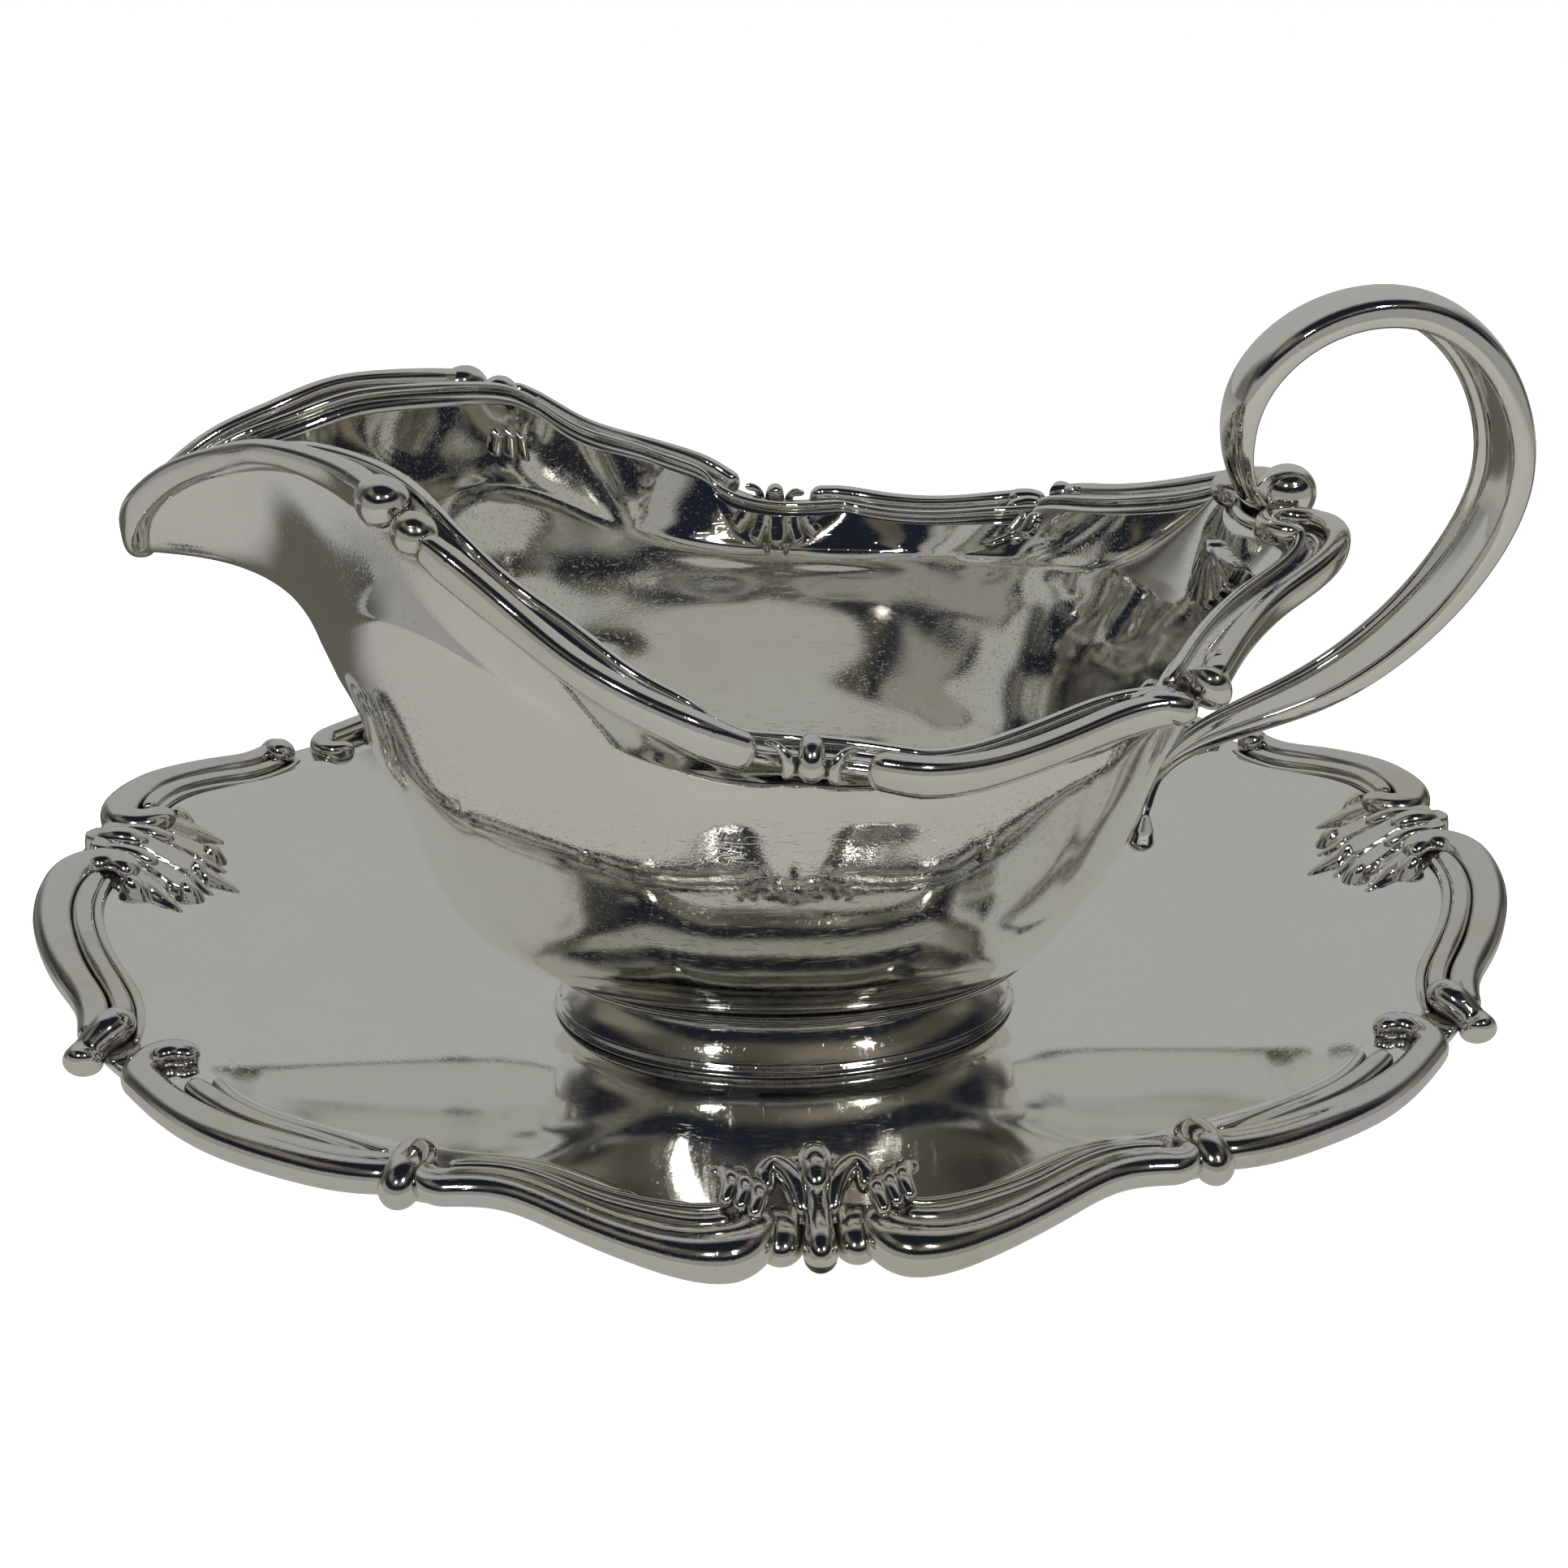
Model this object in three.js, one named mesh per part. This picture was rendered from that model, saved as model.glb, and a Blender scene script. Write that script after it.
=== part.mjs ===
// Silver sauce boat on its matching stand.
// Millimetres, +Z up. X runs from the spout (-X) to the handle (+X), Y across.
// The origin is the centre of the stand's underside.

import * as THREE from 'three';
import { ParametricGeometry } from 'three/addons/geometries/ParametricGeometry.js';
import { mergeVertices } from 'three/addons/utils/BufferGeometryUtils.js';

// ---------------------------------------------------------------- dimensions

const GAP = 0.3;                 // clearance left at every soldered seam
const SHEET = 1.5;               // thickness of the stand's sheet
const FLAT_X = 50;               // half length of the stand's flat centre
const FLAT_Y = 31;               // half width of the stand's flat centre
const STAND_BORDER_W = 9.4;      // width of the cast border moulding on the stand
const STAND_BORDER_H = 6;        // height of the same moulding
const BOAT_Y = -6;               // the boat stands this far off the stand's centre line
const WALL = 1.5;                // thickness of the bowl
const FOOT_A = 41.5;             // half length of the foot at its bottom edge
const FOOT_B = 23.2;             // half width of the foot at its bottom edge
const FOOT_TOP = 16.3;           // height of the foot's collar
const RIM_W = 5.6;               // width of the boat's rim moulding
const RIM_H = 5;                 // height of the same moulding
const Y_SCALE = 1.72;            // makes the angle around the boat run evenly

// Outer edge of the stand's border, one quarter, as three scrolls.
const END_SCROLL = [
  [117, 3.4, 34.4], [120.7, 8.5, 35.4], [121.2, 14.5, 35.2], [119, 22.5, 34.2], [114.8, 30, 32.5],
  [110, 36.2, 30.7], [105.8, 41.2, 29.2], [103.8, 46.6, 28.2],
];
const SIDE_SCROLL = [
  [94.6, 55, 27.7], [87.3, 62, 28], [80.5, 67, 28.3], [75, 70, 28.5],
  [69, 72.6, 28.6], [63, 74.7, 28.6], [58.3, 75.8, 28.6], [54.6, 76.3, 28.6],
];
const MID_SCROLL = [
  [49.6, 79.2, 28.6], [45.2, 79, 28.6], [41, 79.4, 28.6], [37, 80.9, 28.6], [33, 83.1, 28.5],
  [28, 86.3, 28.4], [21, 90.2, 28.3], [15.5, 92.3, 28.2], [10.6, 92.8, 28.2], [6.6, 91.6, 28.2],
];

// Outer edge of the boat's rim, one side, from the spout's tip to the handle end.
const RIM = [
  [-98.6, 0, 90], [-97.4, 5.2, 93.6], [-92.8, 9.4, 99.6], [-86.5, 12, 103.3], [-80, 14.6, 105.6],
  [-72, 20, 107.5], [-64, 25.4, 107.7], [-56, 32.6, 106.4], [-50, 40, 103.8], [-44, 44.4, 100.5],
  [-36, 48.2, 94.8], [-28, 54, 90.7], [-20, 57.6, 87.6], [-12, 58.8, 84.4], [-4, 56.6, 80.8],
  [4, 57, 79.8], [12, 59, 79.5], [20, 57.2, 78.9], [28, 53.5, 79.1], [36, 49.8, 80.4],
  [44, 47.4, 82], [50, 46.6, 82.7], [55, 41.6, 84.8], [60, 34.6, 86.8], [68, 27, 90],
  [75.5, 22, 93], [79.4, 16.5, 94.8], [79.6, 10, 95.2], [77.4, 4, 94], [76.4, 0, 93.4],
];

// The bowl's outer wall at the spout end, at the side and at the handle end:
// reach from the centre, height, and squareness of the plan at that level.
const LEVELS = [
  { spout: [45.2, 16.9], side: [25, 16.9], handle: [45.2, 16.9], n: 2 },
  { spout: [49.5, 19.4], side: [28.4, 19.4], handle: [47.4, 19.4], n: 2.05 },
  { spout: [56.6, 28], side: [36.8, 28], handle: [51.4, 28], n: 2.1 },
  { spout: [61.6, 40], side: [42.6, 40], handle: [57.4, 40], n: 2.2 },
  { spout: [64.2, 52], side: [45.4, 52], handle: [60, 52], n: 2.3 },
  { spout: [65.6, 63], side: [46.2, 62], handle: [60.9, 62], n: 2.35 },
  { spout: [68.6, 77], side: [46.6, 69.5], handle: [61.8, 71], n: 2.35 },
];

// Centre line of the handle in the boat's middle plane, with strap width and thickness.
const HANDLE = [
  [61.4, 46.2, 2.2, 1.4], [65.2, 53, 5, 2.6], [73.6, 57.6, 8, 3.6], [86, 62.6, 11, 4.6],
  [98.4, 72.6, 12.6, 5], [106.8, 85, 13, 5.2], [109.6, 97, 13, 5.2], [107.2, 108, 13, 5.2],
  [100.6, 117, 12.6, 5.2], [91, 122.2, 12, 5.2], [81, 122.1, 11.6, 5], [72.8, 117.6, 11, 4.8],
  [67.9, 110, 10, 4.4], [67.6, 103, 8.2, 3.6], [70.6, 98, 4.6, 1.6],
];

// -------------------------------------------------------------- small helpers

const SILVER = { color: 0xd9d6ce, roughness: 0.12, metalness: 1 };

function vec(p) {
  return new THREE.Vector3(p[0], p[1], p[2]);
}

function curve(points) {
  return new THREE.CatmullRomCurve3(points.map(vec), false, 'centripetal');
}

function mix(a, b, t) {
  return a + (b - a) * t;
}

function signedPower(x, p) {
  return Math.sign(x) * Math.abs(x) ** p;
}

function signedVolume(position, index) {
  const [a, b, c] = [new THREE.Vector3(), new THREE.Vector3(), new THREE.Vector3()];
  let volume = 0;
  for (let i = 0; i < index.length; i += 3) {
    a.fromBufferAttribute(position, index[i]);
    b.fromBufferAttribute(position, index[i + 1]);
    c.fromBufferAttribute(position, index[i + 2]);
    volume += a.dot(b.cross(c)) / 6;
  }
  return volume;
}

// One closed solid from a surface function: seams are welded, collapsed triangles dropped,
// and the faces are turned to point out.
function solid(surface, slices, stacks) {
  const raw = new ParametricGeometry(surface, slices, stacks);
  raw.deleteAttribute('normal');
  raw.deleteAttribute('uv');
  const welded = mergeVertices(raw, 1e-4);
  const index = welded.getIndex().array;
  const kept = [];
  for (let i = 0; i < index.length; i += 3) {
    const [a, b, c] = [index[i], index[i + 1], index[i + 2]];
    if (a === b || b === c || c === a) continue;
    kept.push(a, b, c);
  }
  if (signedVolume(welded.getAttribute('position'), kept) < 0) kept.reverse();
  welded.setIndex(kept);
  welded.computeVertexNormals();
  return welded;
}

// A bar swept along a path. section(t, angle) gives [across, up] in mm; frame(t) gives
// the two directions. Both ends close to a point on the path.
function bar(path, section, frame, steps, sides) {
  const p = new THREE.Vector3();
  return solid((u, v, target) => {
    const row = Math.round(u * (steps + 2));
    const t = Math.min(Math.max(row - 1, 0), steps) / steps;
    const [across, up] = section(t, (1 - v) * 2 * Math.PI);
    const closed = row === 0 || row === steps + 2;
    path.getPoint(t, p);
    const { side, rise } = frame(t);
    target.copy(p);
    if (!closed) target.addScaledVector(side, across).addScaledVector(rise, up);
  }, steps + 2, sides);
}

// Direction square to a path and level with the table, pointing away from the centre.
function outward(path, t) {
  const tangent = path.getTangent(t);
  const p = path.getPoint(t);
  const side = new THREE.Vector3(tangent.y, -tangent.x, 0).normalize();
  if (side.x * p.x + side.y * p.y * 2 < 0) side.negate();
  return side;
}

const UP = new THREE.Vector3(0, 0, 1);

// ------------------------------------------------------------- stand: border

// A scroll swells in the middle and ends in rounded heads.
function swell(t, thin) {
  const ends = Math.min(1, Math.min(t, 1 - t) / 0.06 + 0.55);
  return ends * mix(thin, 1, 0.5 - 0.5 * Math.cos(2 * Math.PI * t));
}

function borderPath(points, mirrorX, mirrorY, width, height) {
  const edge = curve(points);
  const inset = [];
  const n = 24;
  for (let i = 0; i <= n; i += 1) {
    const t = i / n;
    const p = edge.getPoint(t);
    const side = outward(edge, t);
    inset.push([
      (p.x - side.x * width / 2) * mirrorX,
      (p.y - side.y * width / 2) * mirrorY,
      p.z - height / 2,
    ]);
  }
  return curve(inset);
}

function borderScroll(points, mirrorX, mirrorY, width, height, steps) {
  const path = borderPath(points, mirrorX, mirrorY, width, height);
  const section = (t, a) => {
    const k = swell(t, 0.92);
    return [
      Math.cos(a) * (width / 2 - GAP / 2) * k,
      Math.sin(a) * (height / 2) * k,
    ];
  };
  const turn = mirrorX * mirrorY;
  const frame = (t) => {
    const side = outward(path, t);
    const ahead = path.getTangent(t);
    const left = new THREE.Vector3(-ahead.y, ahead.x, 0).normalize();
    return { side: turn === 0 ? left : left.dot(side) > 0 ? left : left, rise: UP };
  };
  return bar(path, section, frame, steps, 6);
}

// ------------------------------------------------------------- stand: sheet

// Inner edge of the border at each angle: the lower envelope of the three scrolls.
function innerEdgeSamples() {
  const samples = [];
  for (const points of [END_SCROLL, SIDE_SCROLL, MID_SCROLL]) {
    const edge = curve(points);
    for (let i = 0; i <= 60; i += 1) {
      const p = edge.getPoint(i / 60);
      const side = outward(edge, i / 60);
      const x = p.x - side.x * (STAND_BORDER_W + 2 * GAP);
      const y = p.y - side.y * (STAND_BORDER_W + 2 * GAP);
      samples.push({ angle: Math.atan2(y, x), r: Math.hypot(x, y), z: p.z });
    }
  }
  samples.push({ angle: 0, r: 107, z: 33.6 });
  samples.push({ angle: Math.PI / 2, r: 81.6, z: 28.2 });
  return samples;
}

const INNER = innerEdgeSamples();

function innerEdge(angle) {
  const folded = Math.abs(Math.atan2(Math.abs(Math.sin(angle)), Math.abs(Math.cos(angle))));
  let r = Infinity;
  let z = 0;
  let weight = 0;
  for (const s of INNER) {
    const d = Math.abs(s.angle - folded);
    if (d < 0.07) r = Math.min(r, s.r);
    const w = Math.exp(-((d / 0.09) ** 2));
    z += s.z * w;
    weight += w;
  }
  return { r, z: z / weight - STAND_BORDER_H / 2 - 0.6 };
}

// Top of the stand at a point: flat in the middle, then a dish that rises to the border.
function dishHeight(x, y) {
  const angle = Math.atan2(y, x);
  const edge = innerEdge(angle);
  const flat = 1 / Math.hypot(Math.cos(angle) / FLAT_X, Math.sin(angle) / FLAT_Y);
  const r = Math.hypot(x, y);
  const s = Math.max(0, (r - flat) / (edge.r - flat));
  return SHEET + (edge.z - SHEET) * s ** 1.35;
}

function sheetSolid() {
  const rings = 7;
  return solid((u, v, target) => {
    const angle = u * 2 * Math.PI;
    const row = Math.round(v * (2 * rings + 1));
    const top = row <= rings;
    const ring = top ? row : 2 * rings + 1 - row;
    const edge = innerEdge(angle).r;
    const flat = 1 / Math.hypot(Math.cos(angle) / FLAT_X, Math.sin(angle) / FLAT_Y);
    const r = ring === 0 ? 0 : mix(flat, edge, (ring - 1) / (rings - 1));
    const x = Math.cos(angle) * r;
    const y = Math.sin(angle) * r;
    target.set(x, y, dishHeight(x, y) - (top ? 0 : SHEET));
  }, 60, 2 * rings + 1);
}

// ------------------------------------------------- relief laid on a surface

// A cast ornament standing on a surface: outline(angle) is its reach from the middle in
// surface units, height(angle, rho) its thickness, point(a, b, lift) the surface itself.
function relief(point, outline, height, slices, rings) {
  return solid((u, v, target) => {
    const angle = u * 2 * Math.PI;
    const row = Math.round(v * 2 * rings);
    const top = row <= rings;
    const rho = top ? row / rings : (2 * rings - row) / rings;
    const reach = outline(angle) * rho;
    const a = Math.cos(angle) * reach;
    const b = Math.sin(angle) * reach;
    const lift = GAP + (top && rho < 1 ? height(angle, rho) : 0) + (rho === 1 ? 0.05 : 0);
    target.copy(point(a, b, lift));
  }, slices, 2 * rings);
}

// --------------------------------------------------------------- boat: bowl

const RIM_ANGLES = RIM.map(([x, y]) => Math.atan2(y * Y_SCALE, x));

// Rim point at an angle around the boat, 0 at the handle and pi at the spout.
function rimPoint(angle) {
  const folded = Math.abs(Math.atan2(Math.sin(angle), Math.cos(angle)));
  const side = Math.sin(angle) < 0 ? -1 : 1;
  let i = 0;
  while (i < RIM.length - 2 && RIM_ANGLES[i + 1] > folded) i += 1;
  const t = (RIM_ANGLES[i] - folded) / (RIM_ANGLES[i] - RIM_ANGLES[i + 1]);
  const at = (k) => {
    const j = k < 0 ? -k : k > RIM.length - 1 ? 2 * (RIM.length - 1) - k : k;
    const flip = k !== j ? -1 : 1;
    return [RIM[j][0], RIM[j][1] * flip, RIM[j][2]];
  };
  const [p0, p1, p2, p3] = [at(i - 1), at(i), at(i + 1), at(i + 2)];
  const out = [0, 1, 2].map((k) => 0.5 * (2 * p1[k] + (p2[k] - p0[k]) * t
    + (2 * p0[k] - 5 * p1[k] + 4 * p2[k] - p3[k]) * t * t
    + (3 * p1[k] - p0[k] - 3 * p2[k] + p3[k]) * t * t * t));
  return new THREE.Vector3(out[0], out[1] * side, out[2]);
}

// Rim point moved inward, square to the rim as seen from above.
function rimInset(angle, inset, drop) {
  const before = rimPoint(angle - 0.01);
  const after = rimPoint(angle + 0.01);
  const along = after.sub(before).normalize();
  const side = new THREE.Vector3(along.y, -along.x, 0).normalize();
  const p = rimPoint(angle);
  return p.addScaledVector(side, -inset).add(new THREE.Vector3(0, 0, -drop));
}

function levelPoint(level, angle) {
  const c = Math.cos(angle);
  const s = Math.sin(angle);
  const end = c < 0 ? level.spout : level.handle;
  const x = signedPower(c, 2 / level.n) * end[0];
  const y = signedPower(s, 2 / level.n) * level.side[0];
  const lean = c * c;
  return new THREE.Vector3(x, y, mix(level.side[1], end[1], lean));
}

// The crease climbs towards the spout's shoulders and dips again in its channel.
function creasePoint(angle) {
  const p = levelPoint(LEVELS[LEVELS.length - 1], angle);
  const folded = Math.abs(Math.atan2(Math.sin(angle), Math.cos(angle)));
  p.z += 15 * Math.exp(-(((folded - 2.35) / 0.42) ** 2));
  return p;
}

// Outer face of the bowl: s runs 0 at the middle of the bottom to 1 at the rim.
function bowlStations(angle) {
  const stations = [new THREE.Vector3(0, 0, LEVELS[0].side[1] + 0.6)];
  for (let i = 0; i < LEVELS.length - 1; i += 1) stations.push(levelPoint(LEVELS[i], angle));
  const crease = creasePoint(angle);
  const rim = rimInset(angle, RIM_W + GAP, RIM_H * 0.55);
  stations.push(crease);
  for (const [t, lag] of [[0.36, 0.3], [0.7, 0.64], [1, 1]]) {
    stations.push(new THREE.Vector3(
      mix(crease.x, rim.x, t),
      mix(crease.y, rim.y, t),
      mix(crease.z, rim.z, lag),
    ));
  }
  return stations;
}

function bowlOuter(angle, s) {
  const stations = bowlStations(angle);
  const x = s * (stations.length - 1);
  const i = Math.min(Math.floor(x), stations.length - 2);
  const t = x - i;
  const at = (k) => stations[Math.min(Math.max(k, 0), stations.length - 1)];
  const [p0, p1, p2, p3] = [at(i - 1), at(i), at(i + 1), at(i + 2)];
  const blend = (k) => (i === 0 ? mix(p1[k], p2[k], t) : 0.5 * (2 * p1[k] + (p2[k] - p0[k]) * t
    + (2 * p0[k] - 5 * p1[k] + 4 * p2[k] - p3[k]) * t * t
    + (3 * p1[k] - p0[k] - 3 * p2[k] + p3[k]) * t * t * t));
  return new THREE.Vector3(blend('x'), blend('y'), blend('z'));
}

function bowlInner(angle, s, lift = 0) {
  const p = bowlOuter(angle, s);
  if (s < 0.02) return p.add(new THREE.Vector3(0, 0, WALL + lift));
  const e = 0.004;
  const along = bowlOuter(angle + e, s).sub(bowlOuter(angle - e, s));
  const rise = bowlOuter(angle, Math.min(1, s + e)).sub(bowlOuter(angle, s - e));
  const n = along.cross(rise).normalize();
  return p.addScaledVector(n, -(WALL + lift));
}

const BOWL_ROWS = [0, 0.1, 0.2, 0.3, 0.4, 0.5, 0.6, 0.7, 0.78, 0.89, 1];

function bowlSolid() {
  const last = BOWL_ROWS.length - 1;
  return solid((u, v, target) => {
    const angle = u * 2 * Math.PI;
    const row = Math.round(v * (2 * last + 1));
    const outer = row <= last;
    const s = BOWL_ROWS[outer ? row : 2 * last + 1 - row];
    target.copy(outer ? bowlOuter(angle, s) : bowlInner(angle, s));
  }, 48, 2 * last + 1);
}

// ---------------------------------------------------------------- boat: rim

// A length of rim moulding between two angles, on side +1 or -1.
function rimPath(from, to, side, count) {
  const points = [];
  for (let i = 0; i <= count; i += 1) {
    const p = rimInset(mix(from, to, i / count) * side, RIM_W / 2, RIM_H / 2);
    points.push([p.x, p.y, p.z]);
  }
  return curve(points);
}

function rimScroll(from, to, side, steps, thin = 0.9) {
  const path = rimPath(from, to, side, 16);
  const section = (t, a) => {
    const k = swell(t, thin);
    return [Math.cos(a) * (RIM_W / 2 - GAP / 2) * k, Math.sin(a) * (RIM_H / 2) * k];
  };
  const frame = (t) => {
    const ahead = path.getTangent(t);
    return { side: new THREE.Vector3(-ahead.y, ahead.x, 0).normalize(), rise: UP };
  };
  return bar(path, section, frame, steps, 6);
}

function rimAngle(x, y) {
  return Math.atan2(y * Y_SCALE, x);
}

function knob(rx, ry, rz, slices = 9) {
  const sphere = new THREE.SphereGeometry(1, slices, Math.round(slices * 0.7));
  sphere.scale(rx, ry, rz);
  sphere.deleteAttribute('normal');
  sphere.deleteAttribute('uv');
  const welded = mergeVertices(sphere, 1e-4);
  welded.computeVertexNormals();
  return welded;
}

// --------------------------------------------------------------- boat: foot

// Half sections of the foot ring and of its collar: inset from the foot edge and height.
const FOOT_SECTION = [
  [0, 1.8], [0, 2.6], [1.3, 4.2], [2.3, 7], [2.5, 10], [1.6, 12.7],
  [3.4, 12.7], [4.3, 10], [4.1, 7], [3.2, 4.2], [2.2, 1.8],
];
const COLLAR_SECTION = [
  [1.5, 13], [-0.6, 13.8], [-2.6, 15.2], [-2.6, FOOT_TOP], [3.4, FOOT_TOP], [3.4, 13],
];

function ovalRing(section, slices) {
  return solid((u, v, target) => {
    const angle = u * 2 * Math.PI;
    const [inset, z] = section[Math.round(v * section.length) % section.length];
    target.set(Math.cos(angle) * (FOOT_A - inset), Math.sin(angle) * (FOOT_B - inset), z);
  }, slices, section.length);
}

// ------------------------------------------------------------- boat: handle

function handleSolid() {
  const path = curve(HANDLE.map(([x, z]) => [x, 0, z]));
  const size = curve(HANDLE.map(([, , w, h]) => [w, h, 0]));
  const frame = (t) => {
    const ahead = path.getTangent(t);
    return { side: new THREE.Vector3(0, 1, 0), rise: new THREE.Vector3(ahead.z, 0, -ahead.x) };
  };
  const section = (t, a) => {
    const { x: w, y: h } = size.getPoint(t);
    const across = Math.cos(a) * w / 2;
    const outerSide = Math.sin(a) >= -1e-6;
    const crown = 1 - (2 * across / w) ** 2;
    const up = outerSide ? h * (0.5 * crown + 0.12) : -h * (0.5 - 0.34 * crown);
    return [across, Math.abs(Math.sin(a)) < 1e-6 ? -h * 0.12 : up];
  };
  return bar(path, section, frame, 30, 10);
}

// ------------------------------------------------------------------ assembly

const object = new THREE.Group();
const stand = new THREE.Group();
const boat = new THREE.Group();
boat.position.set(0, BOAT_Y, 0);
object.add(stand, boat);

function add(group, name, geometry, place) {
  const mesh = new THREE.Mesh(geometry, new THREE.MeshStandardMaterial(SILVER));
  mesh.name = name;
  if (place) mesh.position.set(place[0], place[1], place[2]);
  group.add(mesh);
  return mesh;
}

const ENDS = [['spout', -1], ['handle', 1]];
const SIDES = [['front', -1], ['back', 1]];

add(stand, 'stand_sheet', sheetSolid());
for (const [endName, mx] of ENDS) {
  for (const [sideName, my] of SIDES) {
    const tag = `${endName}_${sideName}`;
    const scroll = (points, steps) => borderScroll(
      points, mx, my, STAND_BORDER_W, STAND_BORDER_H, steps);
    add(stand, `stand_end_scroll_${tag}`, scroll(END_SCROLL, 10));
    add(stand, `stand_side_scroll_${tag}`, scroll(SIDE_SCROLL, 8));
    add(stand, `stand_mid_scroll_${tag}`, scroll(MID_SCROLL, 10));
    add(stand, `stand_ear_bead_${tag}`, knob(2.8, 2.8, 2.6), [98.9 * mx, 51 * my, 25.6]);
    add(stand, `stand_notch_bead_${tag}`, knob(1.9, 3.6, 2.8), [52.2 * mx, 74 * my, 26.2]);
  }
}
for (const [name, mx] of ENDS) {
  const point = (a, b, lift) => new THREE.Vector3(
    (98 + a) * mx, b * mx, dishHeight((98 + a) * mx, b * mx) + lift);
  add(stand, `stand_end_palmette_${name}`, relief(
    point,
    (angle) => (6.4 + 1.4 * Math.cos(angle) ** 2) * (1 + 0.12 * Math.cos(5 * angle)),
    (angle, rho) => 2.6 * (1 - rho * rho),
    16,
    3,
  ));
}
for (const [name, mx] of ENDS) {
  add(stand, `stand_end_boss_${name}`, knob(4.4, 2.7, 2.8), [114.4 * mx, 0, 31.4]);
}
for (const [name, my] of SIDES) {
  add(stand, `stand_mid_boss_${name}`, knob(5.6, 4.8, 3), [0, 86.9 * my, 25.8]);
  const point = (a, b, lift) => new THREE.Vector3(
    -a * my, (75.5 + b) * my, dishHeight(-a * my, (75.5 + b) * my) + lift);
  add(stand, `stand_mid_palmette_${name}`, relief(
    point,
    (angle) => 5.2 * (1 + 0.1 * Math.cos(5 * angle)),
    (angle, rho) => 3 * (1 - rho * rho),
    16,
    3,
  ));
}

const GAP_ANGLE = rimAngle(-50, 40);
const MID_ANGLE = rimAngle(-0.5, 56.8);
const CORNER_ANGLE = rimAngle(51.5, 45.6);
const END_ANGLE = 0.185;

add(boat, 'bowl', bowlSolid());
add(boat, 'spout_lip', rimScroll(GAP_ANGLE + 0.09, 2 * Math.PI - GAP_ANGLE - 0.09, 1, 28, 1));
for (const [name, side] of SIDES) {
  add(boat, `rim_shoulder_scroll_${name}`, rimScroll(MID_ANGLE + 0.1, GAP_ANGLE - 0.09, side, 12));
  add(boat, `rim_waist_scroll_${name}`, rimScroll(CORNER_ANGLE + 0.07, MID_ANGLE - 0.1, side, 12));
  add(boat, `rim_end_scroll_${name}`, rimScroll(END_ANGLE, CORNER_ANGLE - 0.07, side, 12));
  const knobs = [
    [`shoulder_knob_${name}`, GAP_ANGLE, [2.6, 2.3, 2.6]],
    [`mid_ornament_${name}`, MID_ANGLE, [4.6, 2.4, 2.8]],
    [`corner_ornament_${name}`, CORNER_ANGLE, [2.2, 2.2, 2.6]],
  ];
  for (const [knobName, angle, [rx, ry, rz]] of knobs) {
    const p = rimInset(angle * side, RIM_W / 2, RIM_H / 2);
    add(boat, knobName, knob(rx, ry, rz), [p.x, p.y, p.z]);
  }
}

// Shell of flutes lying on the flange in front of the handle.
add(boat, 'end_shell', relief(
  (a, b, lift) => bowlInner(b * 0.052, 0.885 + a * 0.0115, lift),
  (angle) => 6.2 * (1 + 0.1 * Math.cos(6 * angle)),
  (angle, rho) => 2.2 * (1 - rho * rho),
  16,
  3,
));
add(boat, 'foot_collar', ovalRing(COLLAR_SECTION, 36));
add(boat, 'foot_ring', ovalRing(FOOT_SECTION, 36));
add(boat, 'handle', handleSolid());
add(boat, 'handle_ball', knob(4.6, 4.4, 4.6, 14), [76.8, 0, 95.7]);
add(boat, 'handle_drop', knob(2, 2.2, 3), [59.4, 0, 37]);

export default object;
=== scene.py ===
"""Looks for the silver sauce boat on its stand: fine meshes, silver, floor, light, camera.

Shapes are worked out in millimetres, in the frame's own axes, and mesh_object() turns
them into metres. X runs from the spout (-X) to the handle (+X), the front is -Y.
"""

import math

import bmesh
import bpy
import numpy as np
from mathutils import Matrix, Vector


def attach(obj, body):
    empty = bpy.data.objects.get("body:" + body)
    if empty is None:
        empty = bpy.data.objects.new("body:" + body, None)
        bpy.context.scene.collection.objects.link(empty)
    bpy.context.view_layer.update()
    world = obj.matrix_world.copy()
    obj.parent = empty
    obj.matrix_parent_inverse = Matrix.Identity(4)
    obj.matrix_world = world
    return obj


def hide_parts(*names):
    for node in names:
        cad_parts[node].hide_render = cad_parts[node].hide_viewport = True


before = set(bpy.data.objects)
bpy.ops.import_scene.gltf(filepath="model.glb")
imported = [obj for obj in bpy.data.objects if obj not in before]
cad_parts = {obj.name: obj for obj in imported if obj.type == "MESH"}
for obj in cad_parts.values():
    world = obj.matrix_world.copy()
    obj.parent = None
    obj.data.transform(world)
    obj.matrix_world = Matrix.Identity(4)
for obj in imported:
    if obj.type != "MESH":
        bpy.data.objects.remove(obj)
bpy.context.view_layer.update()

MM = 0.001
TAU = 2 * math.pi
UP = np.array([0, 0, 1.0])

# -------- driving dimensions

SHEET = 1.5                   # thickness of the stand's sheet
FLAT_X, FLAT_Y = 50, 31       # half axes of the stand's flat centre
BORDER_W = 9.4                # width of the stand's border moulding
DISH_DROP = 3.6               # from the border's top down to the dish's edge
EDGE_DROP = 3.4               # from the border's top down to the sheet's outer edge
BOAT_Y = -6                   # how far the boat stands off the stand's centre line
WALL = 1.5                    # thickness of the bowl
BOWL_BOTTOM = 17.5            # height of the outside of the bowl's bottom
CREASE_RISE = 15              # how much the crease under the flange climbs at the shoulders
FOOT_A, FOOT_B = 41.5, 23.2   # half axes of the foot at its bottom edge
RIM_W, RIM_H = 7.2, 5         # width and height of the boat's rim moulding
WALL_FLARE = 0.46             # share of RIM_W that the wall turns out under the rim
Y_SCALE = 1.72                # makes the angle around the boat run evenly

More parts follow.
